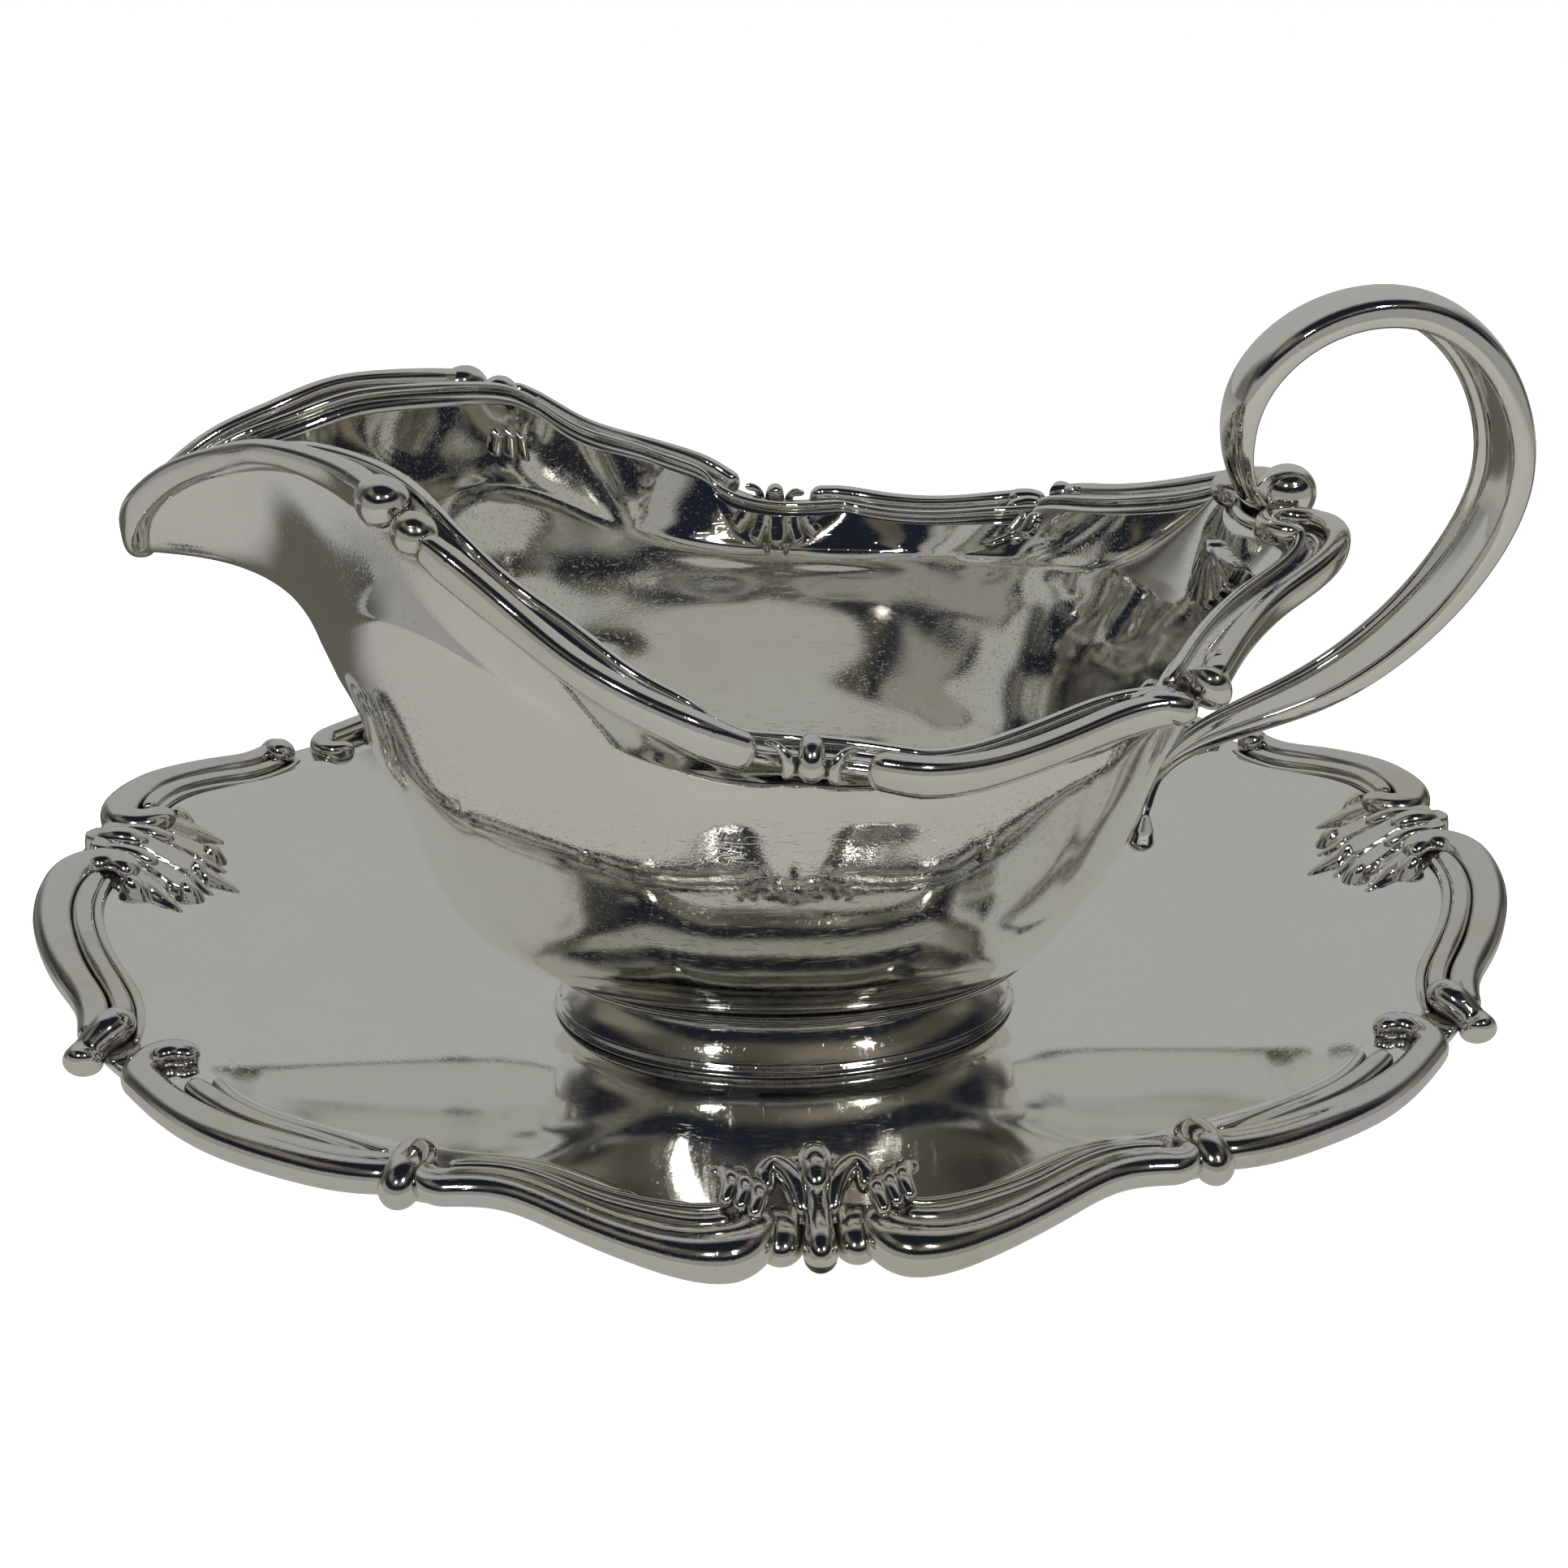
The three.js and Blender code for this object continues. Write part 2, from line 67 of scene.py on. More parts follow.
# Outer edge of the stand's border, one quarter: x, y and the height of its top.
END_SCROLL = [
    (116.8, 3.4, 34.4), (120.2, 8.5, 35.4), (120.6, 14.5, 35.2), (118.7, 22.5, 34.2),
    (114.8, 30, 32.5), (110, 36.2, 30.7), (105.8, 41.2, 29.2), (103.8, 46.6, 28.2),
]
SIDE_SCROLL = [
    (94.6, 55, 27.7), (87.3, 62, 28), (80.5, 67, 28.3), (75, 70, 28.5),
    (69, 72.6, 28.6), (63, 74.7, 28.6), (58.3, 75.8, 28.6), (54.6, 76.3, 28.6),
]
MID_SCROLL = [
    (49.6, 79.2, 28.6), (45.2, 79, 28.6), (41, 79.4, 28.6), (37, 80.9, 28.6), (33, 83.1, 28.5),
    (28, 85.9, 28.4), (21, 89.5, 28.7), (15.5, 91.6, 29.2), (10.6, 92.1, 29.6), (6.6, 91.2, 29.6),
]

# Outer edge of the boat's rim, one side, from the spout's tip to the handle end.
RIM = [
    (-98.6, 0, 90), (-97.2, 5, 93.2), (-92.4, 8.8, 98.4), (-86.5, 11.4, 102.3),
    (-80, 14.4, 105), (-72, 20, 107.5), (-64, 25.4, 107.7), (-56, 32.6, 106.4),
    (-50, 40, 103.8), (-44, 44.4, 100.5), (-36, 48.2, 94.8), (-28, 54, 90.7),
    (-20, 57.6, 87.6), (-12, 58.8, 84.4), (-4, 56.6, 80.8), (4, 57, 79.8), (12, 59, 79.5),
    (20, 57.2, 78.9), (28, 53.5, 79.1), (36, 49.8, 80.4), (44, 47.4, 82), (50, 46.6, 82.7),
    (55, 41.6, 84.8), (60, 34.6, 86.8), (68, 27, 90), (75.5, 22, 93), (79.4, 16.5, 94.8),
    (79.6, 10, 95.2), (77.4, 4, 94), (76.4, 0, 93.4),
]

# The bowl's outer wall: (reach, height) at the spout end, the side and the handle end,
# and the squareness of the plan at that level.
LEVELS = [
    ((45.2, 16.9), (25, 16.9), (45.2, 16.9), 2),
    ((49.5, 19.4), (28.4, 19.4), (47.4, 19.4), 2.05),
    ((56.4, 28), (36.8, 28), (50.2, 28), 2.1),
    ((60.8, 40), (42.6, 40), (55.4, 40), 2.15),
    ((63, 52), (45.4, 52), (58.2, 52), 2.2),
    ((66.2, 62), (46.2, 62), (61.2, 62.5), 2.25),
    ((71, 74), (46.6, 69.5), (66.4, 75), 2.2),
]

# Centre line of the handle in the boat's middle plane: x, z, strap width and thickness.
HANDLE = [
    (61.5, 39, 1.8, 1.4), (61.8, 42, 2, 1.5), (62.6, 46, 2.8, 1.8), (65.8, 50.6, 5, 2.6),
    (73.8, 55.6, 8, 3.6), (86.4, 61.6, 11, 4.6), (98.8, 72, 12.6, 5), (106.9, 84.8, 13, 5.2),
    (109.6, 97, 13, 5.2), (106.4, 108.2, 13, 5.2), (99.4, 117, 12.6, 5.2),
    (89.6, 122.2, 12, 5.2), (79.4, 122, 11.6, 5), (71, 117.4, 11, 4.8), (66.4, 110, 10, 4.4),
    (66.2, 103, 8.6, 3.6), (68.4, 96.6, 7.4, 2.6), (72.4, 92.2, 6.6, 2), (76.8, 90.8, 5.6, 1.6),
]
HANDLE_BALL, HANDLE_BALL_R = (75.4, 0, 94.8), 4.6

# -------- curves


def spline_weights(knots, where):
    """Matrix that turns control values at the knots into natural cubic spline values."""
    knots = np.asarray(knots, float)
    where = np.asarray(where, float)
    n = len(knots)
    gap = np.diff(knots)
    left = np.eye(n)
    right = np.zeros((n, n))
    for i in range(1, n - 1):
        left[i, i - 1:i + 2] = gap[i - 1], 2 * (gap[i - 1] + gap[i]), gap[i]
        right[i, i - 1:i + 2] = 6 / gap[i - 1], -6 / gap[i - 1] - 6 / gap[i], 6 / gap[i]
    bends = np.linalg.solve(left, right)
    i = np.clip(np.searchsorted(knots, where) - 1, 0, n - 2)
    b = (where - knots[i]) / gap[i]
    a = 1 - b
    rows = np.arange(len(where))
    weights = np.zeros((len(where), n))
    weights[rows, i] += a
    weights[rows, i + 1] += b
    scale = (gap[i] ** 2 / 6)[:, None]
    return weights + scale * ((a ** 3 - a)[:, None] * bends[i] + (b ** 3 - b)[:, None] * bends[i + 1])


def chord_knots(points):
    """Length along a path at each of its points."""
    steps = np.linalg.norm(np.diff(points, axis=0), axis=1)
    return np.concatenate([[0], np.cumsum(steps)])


def smooth(points, count):
    """Points spaced evenly along a smooth open curve. Columns after the third are carried."""
    points = np.asarray(points, float)
    knots = chord_knots(points[:, :3])
    dense = spline_weights(knots, np.linspace(0, knots[-1], count * 6)) @ points
    length = chord_knots(dense[:, :3])
    even = np.linspace(0, length[-1], count)
    return np.stack([np.interp(even, length, dense[:, k]) for k in range(points.shape[1])], 1)


def smooth_loop(points, count):
    """Points along a smooth closed curve."""
    points = np.asarray(points, float)
    pad = 5
    n = len(points)
    ring = points[np.arange(-pad, n + pad) % n]
    knots = chord_knots(ring)
    start, end = knots[pad], knots[pad + n]
    where = np.linspace(start, end, count, endpoint=False)
    return spline_weights(knots, where) @ ring


def unit(vectors):
    return vectors / np.maximum(np.linalg.norm(vectors, axis=-1, keepdims=True), 1e-9)


def tangents(points):
    return unit(np.gradient(points, axis=0))


def plan_inward(points):
    """Level direction square to a path, towards the middle of the object."""
    along = tangents(points)
    side = unit(np.stack([-along[:, 1], along[:, 0], np.zeros(len(points))], 1))
    toward = -points[:, 0] * side[:, 0] - 2 * points[:, 1] * side[:, 1]
    return side * np.where(toward.sum() < 0, -1, 1)


def spread(values, t):
    """Values spaced evenly over a run, read at shares t of it."""
    return np.interp(t, np.linspace(0, 1, len(values)), values)


# -------- meshes


class Shape:
    """Vertices and faces of one piece, gathered from several surfaces."""

    def __init__(self):
        self.verts = []
        self.faces = []
        self.count = 0

    def add_grid(self, grid, wrap=True):
        """A grid of points (rows, columns, 3); wrap joins the last column to the first."""
        rows, cols = grid.shape[:2]
        index = np.arange(rows * cols).reshape(rows, cols) + self.count
        if wrap:
            index = np.concatenate([index, index[:, :1]], 1)
        a, b = index[:-1, :-1], index[:-1, 1:]
        c, d = index[1:, 1:], index[1:, :-1]
        self.faces.append(np.stack([a, b, c, d], -1).reshape(-1, 4))
        self.verts.append(grid.reshape(-1, 3))
        self.count += rows * cols
        return self

    def mirrored(self, mx, my):
        """A copy with X times mx and Y times my, each 1 or -1."""
        copy = Shape()
        copy.count = self.count
        copy.verts = [v * np.array([mx, my, 1]) for v in self.verts]
        copy.faces = [f[:, ::-1] if mx * my < 0 else f for f in self.faces]
        return copy


def mesh_object(name, shape, body, material, nodes, shift_y=0.0):
    """Makes the piece, drops collapsed faces and turns every shell to face outward."""
    verts = np.concatenate(shape.verts) + np.array([0, shift_y, 0])
    faces = np.concatenate(shape.faces)
    mesh = bpy.data.meshes.new(name)
    mesh.from_pydata((verts * MM).tolist(), [], faces.tolist())
    work = bmesh.new()
    work.from_mesh(mesh)
    bmesh.ops.remove_doubles(work, verts=work.verts, dist=2e-7)
    bmesh.ops.dissolve_degenerate(work, edges=work.edges, dist=1e-8)
    bmesh.ops.recalc_face_normals(work, faces=work.faces)
    for face in work.faces:
        face.smooth = True
    work.to_mesh(mesh)
    work.free()
    obj = bpy.data.objects.new(name, mesh)
    bpy.context.scene.collection.objects.link(obj)
    obj.data.materials.append(material)
    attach(obj, body)
    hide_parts(*nodes)


def end_rounding(path, reach):
    """Share of the full size along a path whose ends are round over a reach."""
    length = chord_knots(path)
    from_end = np.minimum(length, length[-1] - length)
    return np.sqrt(np.clip(1 - np.clip(1 - from_end / reach, 0, 1) ** 2, 0, 1))


def tube(path, across, up, sides=28, square=1.0, side=None):
    """A rod along a path, across and up its half sizes. Its ends are rounded off."""
    along = tangents(path)
    if side is None:
        side = unit(np.stack([along[:, 1], -along[:, 0], np.zeros(len(path))], 1))
    rise = unit(np.cross(side, along))
    rise *= np.where(rise[:, 2:3].sum() < 0, -1, 1)
    across = np.broadcast_to(across, len(path)).astype(float)
    up = np.broadcast_to(up, len(path)).astype(float)
    rounding = end_rounding(path, np.maximum((across + up) / 2, 1e-6))
    angle = np.linspace(0, TAU, sides, endpoint=False)
    c = np.sign(np.cos(angle)) * np.abs(np.cos(angle)) ** square
    s = np.sign(np.sin(angle)) * np.abs(np.sin(angle)) ** square
    return (path[:, None] + side[:, None] * (c[None, :, None] * (across * rounding)[:, None, None])
            + rise[:, None] * (s[None, :, None] * (up * rounding)[:, None, None]))


def end_dense(path, count):
    """Adds points near both ends of a path so that the rounding there is smooth."""
    length = chord_knots(path)
    t = np.linspace(0, 1, count)
    where = length[-1] * (0.5 - 0.5 * np.cos(np.pi * t))
    return np.stack([np.interp(where, length, path[:, k]) for k in range(path.shape[1])], 1)


def ball(centre, rx, ry, rz, rings=24):
    """An ellipsoid from pole to pole."""
    polar = np.linspace(0, math.pi, rings)[:, None]
    turn = np.linspace(0, TAU, rings * 2, endpoint=False)[None]
    return np.stack([
        centre[0] + rx * np.sin(polar) * np.cos(turn),
        centre[1] + ry * np.sin(polar) * np.sin(turn),
        centre[2] + rz * np.cos(polar) * np.ones_like(turn),
    ], -1)


SINK = 0.7    # how deep a relief's top reaches into the surface under it, between its petals


def relief_height(u, v, petals):
    """Height of a cast relief: the highest of its petals at each point."""
    total = np.full(u.shape, -SINK)
    for path, widths, heights, hollow in petals:
        line = smooth([(*p, 0) for p in path], 48)
        away = (u[..., None] - line[:, 0]) ** 2 + (v[..., None] - line[:, 1]) ** 2
        near = away.argmin(-1)
        s = near / (len(line) - 1)
        width = spread(widths, s)
        height = spread(heights, s)
        x = np.sqrt(away.min(-1)) / width
        dome = np.clip(1 - x * x, 0, 1) ** 0.62
        groove = hollow * np.clip(1 - (x / 0.72) ** 2, 0, 1)
        here = np.where(x < 1, height * (dome - groove), (1 - x) * width)
        total = np.maximum(total, here)
    return total


def relief(shape, place, half_u, half_v, petals, cell=0.3):
    """Lays petals on a surface. place(u, v, h) takes a row of u, a row of v and a grid of h."""
    u = np.linspace(-half_u, half_u, int(2 * half_u / cell) + 1)
    v = np.linspace(-half_v, half_v, int(2 * half_v / cell) + 1)
    grid_u, grid_v = np.meshgrid(u, v, indexing="ij")
    height = relief_height(grid_u, grid_v, petals)
    top = place(u, v, height)
    low = place(u, v, np.full_like(height, -SINK - 0.25))
    shape.add_grid(top, wrap=False)
    shape.add_grid(low, wrap=False)
    for side in (np.s_[0], np.s_[-1], np.s_[:, 0], np.s_[:, -1]):
        shape.add_grid(np.stack([top[side], low[side]]), wrap=False)
    return shape


# -------- stand: the dish

QUARTER_SAMPLES = 160


def quarter_outline(inset):
    """Polar angle, radius and top height of the border's edge moved in, for one quarter."""
    rows = []
    for scroll in (END_SCROLL, SIDE_SCROLL, MID_SCROLL):
        edge = smooth(scroll, QUARTER_SAMPLES)
        moved = edge + plan_inward(edge) * inset
        rows.append(np.stack([np.arctan2(moved[:, 1], moved[:, 0]),
                              np.hypot(moved[:, 0], moved[:, 1]), edge[:, 2]], 1))
    rows = np.concatenate(rows)
    return rows[np.argsort(rows[:, 0])]


def polar_envelope(inset, angles, softness=0.012):
    """Radius and top height of the border's edge moved in, softened, all the way round."""
    rows = quarter_outline(inset)
    folded = np.abs(np.arctan2(np.abs(np.sin(angles)), np.abs(np.cos(angles))))
    reach = max(1, int(softness * len(angles) / TAU * 3))
    kernel = np.hanning(2 * reach + 3)[1:-1]
    kernel /= kernel.sum()
    softened = []
    for column in (rows[:, 1], rows[:, 2]):
        values = np.interp(folded, rows[:, 0], column)
        ring = np.concatenate([values[-reach:], values, values[:reach]])
        softened.append(np.convolve(ring, kernel, "valid"))
    return softened


ROUND = np.linspace(0, TAU, 1440, endpoint=False)
INNER_R, INNER_TOP = polar_envelope(BORDER_W + 0.6, ROUND, 0.05)
INNER_Z = INNER_TOP - DISH_DROP
OUTER_R, OUTER_TOP = polar_envelope(2.2, ROUND)
# The sheet's edge stops short between the two fat heads at the middle of each long side.
MIDDLE_STOP, MIDDLE_SPREAD = 5, 0.075
OUTER_R -= MIDDLE_STOP * np.exp(-((np.cos(ROUND) / MIDDLE_SPREAD) ** 4))


def dish_height(x, y):
    """Top of the stand: flat in the middle, then a dish that rises to the border."""
    angle = np.arctan2(y, x) % TAU
    edge_r = np.interp(angle, np.append(ROUND, TAU), np.append(INNER_R, INNER_R[0]))
    edge_z = np.interp(angle, np.append(ROUND, TAU), np.append(INNER_Z, INNER_Z[0]))
    flat = 1 / np.hypot(np.cos(angle) / FLAT_X, np.sin(angle) / FLAT_Y)
    s = np.maximum(0, (np.hypot(x, y) - flat) / (edge_r - flat))
    return SHEET + (edge_z - SHEET) * np.minimum(s, 1) ** 1.35 + 1.2 * np.maximum(s - 1, 0)


def stand_sheet():
    """Flat centre, dish and the part under the border, with the same again below."""
    flat = 1 / np.hypot(np.cos(ROUND) / FLAT_X, np.sin(ROUND) / FLAT_Y)
    inner = np.linspace(0, 1, 20)[:, None] * flat
    dish = flat + (INNER_R - flat) * np.linspace(0, 1, 70)[1:, None] ** 0.9
    share = np.linspace(0, 1, 10)[1:, None]
    under = INNER_R + (OUTER_R - INNER_R) * share
    radius = np.concatenate([inner, dish, under])
    x, y = radius * np.cos(ROUND), radius * np.sin(ROUND)
    z = dish_height(x, y)
    z[-len(share):] = INNER_Z + (OUTER_TOP - EDGE_DROP - INNER_Z) * share
    top = np.stack([x, y, z], -1)
    bottom = top - UP * SHEET
    return Shape().add_grid(np.concatenate([top, bottom[::-1]]))


# -------- stand: the border


HOOK_TIP = 0.75    # share of its size that a hook keeps at its tip


def hook(path, radius, turn, start=False):
    """Carries a path on round a closing arc towards the middle of the object."""
    if start:
        path = path[::-1]
    place = path[:, :3]
    inward = plan_inward(place)[-1]
    ahead = tangents(place)[-1] * np.array([1, 1, 0.2])
    angle = np.linspace(0, turn, 24)[1:, None]
    close = 1 - 0.3 * angle / math.pi
    centre = place[-1] + inward * radius
    arc = centre - inward * radius * np.cos(angle) * close + ahead * radius * np.sin(angle) * close
    sizes = path[-1, 3:] * (1 - (1 - HOOK_TIP) * angle / turn)
    joined = np.concatenate([path, np.concatenate([arc, sizes], 1)])
    return joined[::-1] if start else joined


def scroll_roll(scroll, start_hook, end_hook, radii, trim=0.6):
    """The fat outer roll of a scroll. A hook is the radius and turn of the head at that end."""
    edge = smooth(scroll, 90)
    size = spread(radii, np.linspace(0, 1, len(edge)))[:, None]
    path = np.concatenate([edge + plan_inward(edge) * size - UP * size, size], 1)
    length = chord_knots(path[:, :3])
    first = start_hook[0] * math.sin(min(start_hook[1], 1.57)) - trim if start_hook else 0
    last = end_hook[0] * math.sin(min(end_hook[1], 1.57)) - trim if end_hook else 0
    path = path[(length >= first) & (length <= length[-1] - last)]
    if start_hook:
        path = hook(path, *start_hook, start=True)
    if end_hook:
        path = hook(path, *end_hook)
    path = end_dense(path, 170)
    size = np.convolve(np.pad(path[:, 3], 6, "edge"), np.ones(13) / 13, "valid")
    return tube(path[:, :3], size, size * 0.94, square=0.94)


def inner_roll(scroll, insets, radii, drop, cut):
    """A thinner roll that follows a scroll on its inner side, between two shares of its length."""
    edge = smooth(scroll, 120)
    count = len(edge)
    edge = edge[int(cut[0] * (count - 1)):int(cut[1] * (count - 1)) + 1]
    t = np.linspace(0, 1, len(edge))
    stops = np.linspace(0, 1, len(insets))
    inset = spline_weights(stops, t) @ np.asarray(insets, float)
    path = edge + plan_inward(edge) * inset[:, None] - UP * drop
    path = end_dense(path, 120)
    size = spread(radii, np.linspace(0, 1, len(path)))
    return tube(path, size, size * 0.95, sides=18)


def bean(points, radii):
    """A short fat swelling along a few points."""
    path = end_dense(smooth(points, 40), 44)
    size = spread(radii, np.linspace(0, 1, len(path)))
    side = unit(np.cross(tangents(path), UP) + 1e-6)
    return tube(path, size, size, sides=26, side=side)


def stand_end_scroll():
    """The scroll beside each end: a fat roll and two thinner ones inside it."""
    shape = Shape()
    shape.add_grid(scroll_roll(END_SCROLL, (4.4, 2.7), None, [3.2, 3.3, 3, 2.8, 2.7, 2.5, 2.3, 1.9]))
    shape.add_grid(inner_roll(
        END_SCROLL, [8.2, 7.3, 6.8, 6.6, 6.2, 5.2], [1, 1.5, 1.6, 1.6, 1.4, 0.9], 2.9, (0.14, 1)))
    shape.add_grid(inner_roll(
        END_SCROLL, [9.6, 9.2, 8.9, 8.8, 8.6, 7.6], [0.6, 0.75, 0.8, 0.8, 0.7, 0.5], 3.6, (0.12, 1)))
    return shape


def stand_side_scroll():
    """The scroll between the ear and the notch."""
    shape = Shape()
    shape.add_grid(scroll_roll(
        SIDE_SCROLL, (4, 3.5), (4.6, 1.5), [2.5, 2.5, 2.7, 2.8, 2.8, 2.8, 2.7], 3.6))
    shape.add_grid(inner_roll(
        SIDE_SCROLL, [6.9, 6.9, 6.7, 6.5, 6.2, 5.2], [1.2, 1.6, 1.6, 1.5, 1.3, 0.8], 2.9, (0.13, 0.94)))
    shape.add_grid(inner_roll(
        SIDE_SCROLL, [9.8, 9.1, 8.9, 8.8, 8.5, 7.4], [0.7, 0.75, 0.75, 0.75, 0.7, 0.5], 3.6, (0.16, 0.96)))
    return shape


def stand_mid_scroll():
    """The scroll that runs from the notch to the fat head at the middle of the long side."""
    shape = Shape()
    shape.add_grid(scroll_roll(
        MID_SCROLL, (4.2, 1.5), (4.4, 1.9), [2.4, 2.5, 2.5, 2.6, 2.7, 3, 3.5, 3.9], 1.2))
    shape.add_grid(inner_roll(
        MID_SCROLL, [6.4, 6.3, 6.2, 6.9, 7.6, 8.4], [0.9, 1.1, 1.2, 1.5, 1.7, 1.2], 3, (0.06, 0.95)))
    shape.add_grid(inner_roll(
        MID_SCROLL, [7.6, 8, 8.3, 9.4, 10.6, 11.4], [0.6, 0.7, 0.75, 0.8, 0.9, 0.7], 3.6, (0.06, 0.93)))
    return shape


def stand_ear_bead():
    """The two-lobed knob at the ear, where the end scroll stops."""
    points = [(97.8, 41, 27.2), (99.4, 43.4, 27), (101, 45.6, 26.2), (102.3, 48, 25), (102.6, 50.4, 24.1)]
    return Shape().add_grid(bean(points, [1.4, 2.6, 2.8, 2.3, 3.2, 3.3]))


def stand_notch_bead():
    """The bean that sits between two scrolls."""
    points = [(52.8, 76, 22.8), (52.6, 75.6, 25.2), (51.6, 72.4, 26.4), (50.2, 68.8, 25.2)]
    return Shape().add_grid(bean(points, [2, 3, 2.8, 1.2]))


def on_dish(cx, cy, turn):
    """Placing function for a relief on the dish, its v axis turned to point inward."""
    def place(u, v, h):
        gu, gv = np.meshgrid(u, v, indexing="ij")
        x = cx + math.cos(turn) * gu - math.sin(turn) * gv
        y = cy + math.sin(turn) * gu + math.cos(turn) * gv
        return np.stack([x, y, dish_height(x, y) + h], -1)
    return place


# Petals: path in (u, v) mm with v pointing inward, half widths, heights, hollow share.
END_PETALS = [
    ([(0, -14), (0, -8), (0, -1)], [2.4, 2, 2.9], [5.4, 3.8, 2.6], 0.45),
    ([(0, 3), (0, 6.8)], [1.9, 0.6], [2, 0.7], 0),
    ([(0, 1.6), (0, 1.7)], [1.6, 1.6], [2.9, 2.9], 0),
]
for _side in (-1, 1):
    END_PETALS += [
        ([(_side * 2.8, -13), (_side * 3.4, -8), (_side * 4.4, -3), (_side * 5, 0)],
         [1.5, 1.6, 1.9, 2.2], [5, 3.6, 2.9, 2.4], 0.4),
        ([(_side * 4.8, -12), (_side * 6.8, -8), (_side * 7.8, -5), (_side * 8, -2.6)],
         [1.6, 1.9, 1.9, 1.7], [4.2, 3.3, 2.6, 2], 0.62),
        ([(_side * 8.6, -5), (_side * 9.8, -1.8), (_side * 11, 1.6)],
         [1.8, 1.7, 0.5], [2.8, 2.3, 0.7], 0.12),
        ([(_side * 6, 1.9), (_side * 6.1, 2)], [1.8, 1.8], [2.7, 2.7], 0),
        ([(_side * 11.2, -4.4), (_side * 11.3, -4.3)], [2, 2], [3.1, 3.1], 0),
        ([(_side * 2.8, 1.4), (_side * 3.6, 4)], [1.3, 0.5], [2, 0.6], 0),
    ]


def stand_end_palmette():
    """The leaf that lies on the dish at each end."""
    return relief(Shape(), on_dish(103, 0, math.pi / 2), 16, 17.5, END_PETALS)


def stand_end_boss():
    """The fold of leaf that closes the border between the two end scrolls."""
    shape = Shape()
    shape.add_grid(bean([(116.6, 0.4, 28.4), (117, 0.3, 31), (114.4, 0, 33), (109, 0, 31.6)],
                        [1.6, 2.1, 2, 1.2]))
    for side in (-1, 1):
        shape.add_grid(bean([(116.4, side * 2.8, 29), (115, side * 3, 32), (111, side * 3.4, 32.2),
                             (106.4, side * 4, 30)], [1.1, 1.4, 1.5, 0.9]))
    return shape


def stand_mid_palmette():
    """A three-lobed fan of curled tips, with a leaf on each of the fat heads beside it."""
    shape = Shape()
    for side in (-1, 1):
        shape.add_grid(bean([(side * 1.8, 83.4, 25.6), (side * 2.2, 80.8, 27), (side * 3.4, 78, 28),
                             (side * 5.2, 76.6, 28), (side * 6.4, 78.2, 27.6), (side * 5.4, 80, 26.8)],
                            [0.8, 1.4, 1.7, 1.7, 1.4, 1]))
        shape.add_grid(bean([(side * 1.5, 78.2, 28.4), (side * 2.2, 76, 28), (side * 3, 74.6, 26.4)],
                            [0.8, 1.2, 0.8]))
        for reach, deep in ((8.2, 0), (9.9, -1.2), (11.6, -2.2)):
            shape.add_grid(bean([
                (side * reach, 86 + deep, 28.6), (side * (reach - 0.9), 82.6 + deep, 29.4),
                (side * (reach + 0.2), 79 + deep, 27.8)], [0.8, 1.3, 1]))
        shape.add_grid(ball((side * 9.6, 76.8, 27), 1.3, 1.3, 1.3))
        shape.add_grid(ball((side * 12.6, 75.8, 26.6), 1, 1, 1))
    lobe = [(0, 81, 26.6), (0, 77.6, 28.4), (0, 75, 27.6), (0, 74, 25.4)]
    shape.add_grid(bean(lobe, [1.6, 2.2, 2.4, 1.4]))
    return shape


def stand_mid_boss():
    """The stem that runs down over the border's edge, in the hollow between the two fat heads."""
    shape = Shape()
    shape.add_grid(bean([(0, 87.6, 23.8), (0, 88.7, 25.2), (0, 86.4, 26.6), (0, 82, 27), (0, 79, 27.6)],
                        [1.9, 2.2, 1.7, 1.5, 1.9]))
    for side in (-1, 1):
        shape.add_grid(ball((side * 4.7, 84.4, 24.2), 3.4, 4.4, 2.8))
        shape.add_grid(bean([(side * 3, 87.6, 24), (side * 3.2, 85, 25.6), (side * 2.8, 81.6, 26.6)],
                            [0.8, 0.9, 0.6]))
    return shape


# -------- boat: bowl

HALF = np.array(RIM, float)
LOOP = smooth_loop(np.concatenate([HALF[::-1], (HALF * [1, -1, 1])[1:-1]]), 6000)
_loop_angle = np.unwrap(np.arctan2(LOOP[:, 1] * Y_SCALE, LOOP[:, 0]))
_loop_side = unit(np.roll(LOOP, -8, 0) - np.roll(LOOP, 8, 0))
LOOP_OUT = unit(np.stack([_loop_side[:, 1], -_loop_side[:, 0], 0 * _loop_side[:, 0]], 1))


def around(table, angle):
    """A value given at every point of the rim, at other angles around the boat."""
    grow = np.concatenate([_loop_angle - TAU, _loop_angle, _loop_angle + TAU])
    wide = np.concatenate([table] * 3)
    order = np.argsort(grow)
    where = np.mod(angle, TAU)
    return np.stack([np.interp(where, grow[order], wide[order, k]) for k in range(3)], -1)


def rim_inset(angle, inset, drop):
    """A rim point moved in, square to the rim in plan, and down."""
    return around(LOOP, angle) - around(LOOP_OUT, angle) * inset - UP * drop


def level_ring(level, angle):
    """A ring of the bowl's outer wall, round to square in plan."""
    spout, side, handle, n = level
    c, s = np.cos(angle), np.sin(angle)
    reach = np.where(c < 0, spout[0], handle[0])
    height = np.where(c < 0, spout[1], handle[1])
    x = np.sign(c) * np.abs(c) ** (2 / n) * reach
    y = np.sign(s) * np.abs(s) ** (2 / n) * side[0]
    return np.stack([x, y, side[1] + (height - side[1]) * c * c], -1)


def bump(angle, centre, width):
    """1 at an angle around the boat and at its mirror image, fading to 0 over a width."""
    folded = np.abs(np.arctan2(np.sin(angle), np.cos(angle)))
    return np.exp(-(((folded - centre) / width) ** 2))


